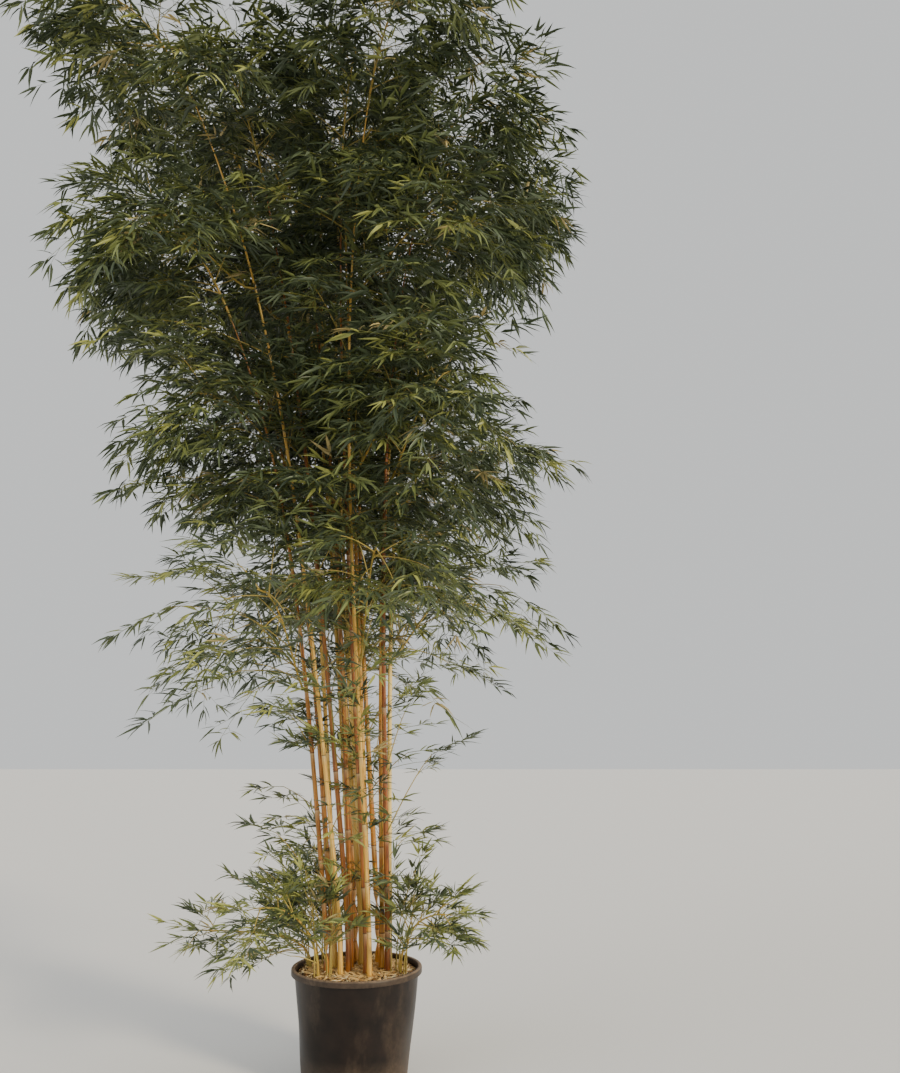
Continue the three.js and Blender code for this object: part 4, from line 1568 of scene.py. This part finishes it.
def cane_rows(cane):
    """The rows of a cane's skin: share of its length, size, scar, wax and how green its internode is."""
    rows = [(0.0, 1.0, 0, 0, 0)]
    draw = random_stream(GREEN_SEED + cane.index)
    for node, share in enumerate(NODE_SHARES[:-1]):
        span = NODE_SHARES[node + 1] - share
        green = max(0, centred(draw)) * draw()
        rows += [(share + span * part, 1.0, 0, 0, green) for part in BETWEEN]
        if node + 1 == INTERNODES:
            break
        scale = cane.radius(share + span) / NODE_ROWS_RADIUS / cane.height
        for offset, size, scar, wax in NODE_ROWS:
            rows.append((share + span + offset * MM * scale, size, scar, wax, green if offset < 0 else 0))
    rows.append((1.0, CANE_END_SIZE, 0, 0, 0))
    return np.array(rows).T


print("rows on a cane:", cane_rows(canes[0]).shape[1])

# %% [markdown]
# ## The colour of the canes
# Each cane ripens on its own, from yellow to orange brown, with streaks that run lengthwise, a green
# stripe on some internodes, brown specks, a dark scar and pale wax at the nodes. The spread from pale to
# dark between canes is wider than ripening alone gives: it is also painted light and shade, some canes pale
# as if lit and others brown as if shaded. Noise laid by an unrolled map would show a seam. Here it is read
# from the circle that was swept and the length along the cane, so the streaks have none.

# %% Waxy golden culm
# how fast the noise changes round a cane and along it, and how fine it is
STREAKS = (2.2, 5, 3)
STRIPE = (1.6, 0.6, 1)
SPECKS = (9, 60, 3)
GRAIN = (14, 12, 3)
STRIPE_RANGE = (0.52, 0.6)
SPECK_RANGE = (0.68, 0.76, 0, 0.5)
WAX_COVER = 0.4
SCAR_COVER = 0.85
WAX_DULLING = (0, 1, 0.3, 0.62)
# from pale gold to orange brown; across whole canes the spread is also painted light and painted shade
GOLD_STOPS = [(0.2, "f0d27c"), (0.45, "dcac4a"), (0.68, "ba7a32"), (0.95, "804522")]

golden_skin, tree, shader = new_material("waxy_golden_culm")


def cane_value(name, output="Fac"):
    """A value that the canes' rows or the swept circle carry."""
    return add_node(tree, "ShaderNodeAttribute", output=output, attribute_name=name)


around = cane_value("around", "Vector")
round_parts = add_node(tree, "ShaderNodeSeparateXYZ", {"Vector": around}).node.outputs


def lengthwise_noise(across, along, detail):
    """Noise in streaks that run along the cane, without a seam round it."""
    joined = add_node(tree, "ShaderNodeCombineXYZ", {
        "X": times(tree, round_parts["X"], across),
        "Y": times(tree, round_parts["Y"], across),
        "Z": times(tree, cane_value("along"), along),
    })
    return noise_at(tree, joined, 1.0, detail, 0.5)


# each cane's tone shifts the ramp: ripeness and painted light and shade together
skin = colour_ramp(tree, summed(tree, lengthwise_noise(*STREAKS), cane_value("ripeness")), GOLD_STOPS)
stripe = times(tree, ranged(tree, lengthwise_noise(*STRIPE), *STRIPE_RANGE), cane_value("green"))
specks = ranged(tree, lengthwise_noise(*SPECKS), *SPECK_RANGE)
wax = times(tree, cane_value("wax"), WAX_COVER)
scar = times(tree, cane_value("scar"), SCAR_COVER)
for pattern, hex_colour in ((stripe, "7f8c34"), (wax, "efe2b8"), (scar, "4e3319"), (specks, "6d4a26")):
    skin = blended(tree, pattern, skin, linear(hex_colour))
feed(tree, shader, {
    "Base Color": skin,
    "Roughness": ranged(tree, cane_value("wax"), *WAX_DULLING),
    "Normal": relief(tree, lengthwise_noise(*GRAIN), 0.2 * MM, 0.4),
})
print("golden skin:", len(tree.nodes), "nodes")

# %% [markdown]
# ## Eighteen canes
# Each cane is one tube along the axis that the rule gave, started a little under the soil's surface so
# that no gap shows under it. Its tone, ripeness and painted light and shade together, comes from a number
# drawn for it alone.

# %% Make the canes
CANE_SIDES = 14
ROOT_DEPTH = 4 * MM
# ends of each cane's tone, ripeness and painted light and shade together: raw and lit pale, ripe and shaded
# brown
RIPE_AND_SHADED_END = 0.42
RAW_AND_LIT_END = -0.32
CANE_TONE_SEED = 700
PATTERN_SHIFT = 3.7
for cane in canes:
    share, size, scar, wax, green = cane_rows(cane)
    axis = cane.path(share)
    axis[0] -= UP * ROOT_DEPTH
    ripeness = mix(RAW_AND_LIT_END, RIPE_AND_SHADED_END, random_stream(CANE_TONE_SEED + cane.index)())
    along = share * cane.height + cane.index * PATTERN_SHIFT
    skin_piece = tubes(
        f"cane_skin_{cane.index + 1:02d}", axis[None], CANE_SIDES, golden_skin,
        thickness=cane.radius(share) * size, scar=scar, wax=wax, green=green, along=along,
        ripeness=ripeness,
    )
    finish_piece(skin_piece, [cane.name])

# %% [markdown]
# ## Stems, twigs and sticks
# The wood inside the crown is golden green and thinner at each step: stems, twigs, the sticks of the
# branchlets and the short side sticks of the fans. Each step is one call of the tube tree on all its paths
# at once, with fewer sides the thinner the wood is.

# %% Wood of the crown
STEM_ROWS = 9
TWIG_ROWS = 6
STICK_ROWS = 4


def paths_of(limbs, rows):
    """An array of limbs by points along each."""
    return np.array([limb.point(np.linspace(0, 1, rows)) for limb in limbs])


mass_names = [mass["name"] for mass in masses]
stem_wood, tree, shader = new_material("golden_green_stem_skin")
stem_colour = colour_ramp(tree, object_noise(tree, 30), [(0.35, "8f8a3a"), (0.65, "c29a45")])
feed(tree, shader, {"Base Color": stem_colour, "Roughness": 0.45})
twig_wood = plain_finish("straw_twig_skin", "a8944a", 0.5)
stick_wood = plain_finish("thin_green_stick_skin", "747a38", 0.5)

stems = paths_of([mass["stem"] for mass in masses], STEM_ROWS)
twigs = [twig for mass in masses for twig in mass["twigs"] + mass["fine_twigs"]] + cane_twigs
sticks = np.stack([stick_point(share) for share in np.linspace(0, 1, STICK_ROWS)], axis=1)
# piece, paths, sides, wood, radius at the foot and at the tip
WOOD = [
    ("leaf_stems", stems, 6, stem_wood, 6 * MM, 3 * MM),
    ("leaf_twigs", paths_of(twigs, TWIG_ROWS), 5, twig_wood, 3.2 * MM, 1.6 * MM),
    ("branchlet_sticks", sticks, 3, stick_wood, 1.7 * MM, 0.8 * MM),
    ("side_sticks", np.concatenate(side_sticks), 3, stick_wood, 0.9 * MM, 0.6 * MM),
]
for name, paths, sides, wood, foot, tip in WOOD:
    thickness = mix(foot, tip, np.linspace(0, 1, paths.shape[1]))
    finish_piece(tubes(name, paths, sides, wood, thickness=thickness), mass_names)

# %% [markdown]
# ## Leaves
# The crown's colour comes from many plain greens rather than from a pattern: each fan is dealt one of
# five leaf colours, the fresh and yellow ones more often outside and low down, the deep ones inside. The
# yellow-green one is painted sunlight on the outer and low leaves, and the deep one is partly the leaves'
# own deep green and partly painted shade inside the crown.
# Every leaf of a fan has the same colour, as on the real plant, where a fan unfolds together, and the
# fans of one branchlet tend to be alike.

# %% Deal the colours by spray
# short name, finish and colour; "sunlit" is painted sunlight, and "deep" is partly painted shade
LEAF_COLOURS = [
    ("deep", "deep_green_and_painted_shade_leaf_blade", "424e37"),
    ("middle", "mid_green_leaf_blade", "535f43"),
    ("fresh", "fresh_green_leaf_blade", "6f7946"),
    ("sunlit", "painted_sunlit_yellow_green_leaf_blade", "9ca159"),
    ("dry", "straw_dry_leaf_blade", "b8a772"),
]
# shares of deep, middle, fresh and sunlit: more deep ones inside as painted shade, more sunlit ones outside
# and low down as painted sunlight
INNER_SHARES = (0.38, 0.42, 0.17, 0.02)
OUTER_SHARES = (0.24, 0.36, 0.32, 0.06)
YOUNG_SHARES = (0.11, 0.25, 0.37, 0.24)
CROWN_SHIFT = 0.1
CROWN_RADIUS = 1.2
OLD_HEIGHT = 2.8
FANS_ALIKE = 0.4

middle = branchlets["root"] + branchlets["direction"] * branchlets["length"][:, None] / 2
outness = np.clip(np.hypot(middle[:, 0] + CROWN_SHIFT, middle[:, 1]) / CROWN_RADIUS, 0, 1)
# low down the mix leans to young leaves, with more of the painted sunlight on the low shoots
youth_and_sunlight = np.clip((OLD_HEIGHT - middle[:, 2]) / (OLD_HEIGHT - SHOOT_HEIGHT), 0, 1)
inner, outer, young = (np.array(shares)[:, None] for shares in (INNER_SHARES, OUTER_SHARES, YOUNG_SHARES))
shares = mix(mix(inner, outer, outness), young, youth_and_sunlight)
fans = len(SIDE_STICK_STARTS) + 1
own_draw = random.uniform(0, 1, (count, fans))
common_draw = random.uniform(0, 1, (count, 1))
drawn_share = mix(own_draw, common_draw, FANS_ALIKE)
# their ranks are spread evenly from 0 to 1 again, so that each colour gets its full share
drawn_share = np.argsort(np.argsort(drawn_share, axis=None)).reshape(count, fans) / (count * fans)
colour_of_fan = (drawn_share[..., None] > np.cumsum(shares, axis=0).T[:, None, :]).sum(-1)
colour_of_leaf = colour_of_fan[leaves["branchlet"], leaves["fan"]]
print("leaves of each colour:", np.bincount(colour_of_leaf))

# %% [markdown]
# ## Setting the leaves
# Each colour is one or two pieces, because a single piece of all the leaves would be unwieldy. Each leaf
# gets its own width and its own bend, and then the scatter tree sets them all.

# %% Set the leaves
MOST_LEAVES = 24000
BLADE_ARCH = (0.0, 1.1)
LEAF_NARROWNESS = 0.12
WIDTH_SWING = (0.8, 1.2)
LEAF_ROUGHNESS = 0.42

total = 0
for number, (short, finish_name, hex_colour) in enumerate(LEAF_COLOURS):
    leaf_finish = plain_finish(finish_name, hex_colour, LEAF_ROUGHNESS)
    chosen = np.flatnonzero(colour_of_leaf == number)
    for part, wanted in enumerate(np.array_split(chosen, max(1, math.ceil(len(chosen) / MOST_LEAVES)))):
        length = leaves["length"][wanted]
        width = length * LEAF_NARROWNESS * random.uniform(*WIDTH_SWING, len(wanted))
        size = np.stack([width, length, length * random.uniform(*BLADE_ARCH, len(wanted))], axis=1)
        piece = scattered(
            f"leaves_{short}_{part + 1}", blade, leaf_finish, leaves["root"][wanted],
            direction=leaves["direction"][wanted], facing=leaves["normal"][wanted], size=size,
        )
        finish_piece(piece, mass_names)
        total += len(wanted)
print("leaves set:", total)

# %% Finish
for helper in (blade, chip_shape, dry_leaf_shape):
    bpy.data.objects.remove(helper)
bpy.context.view_layer.update()
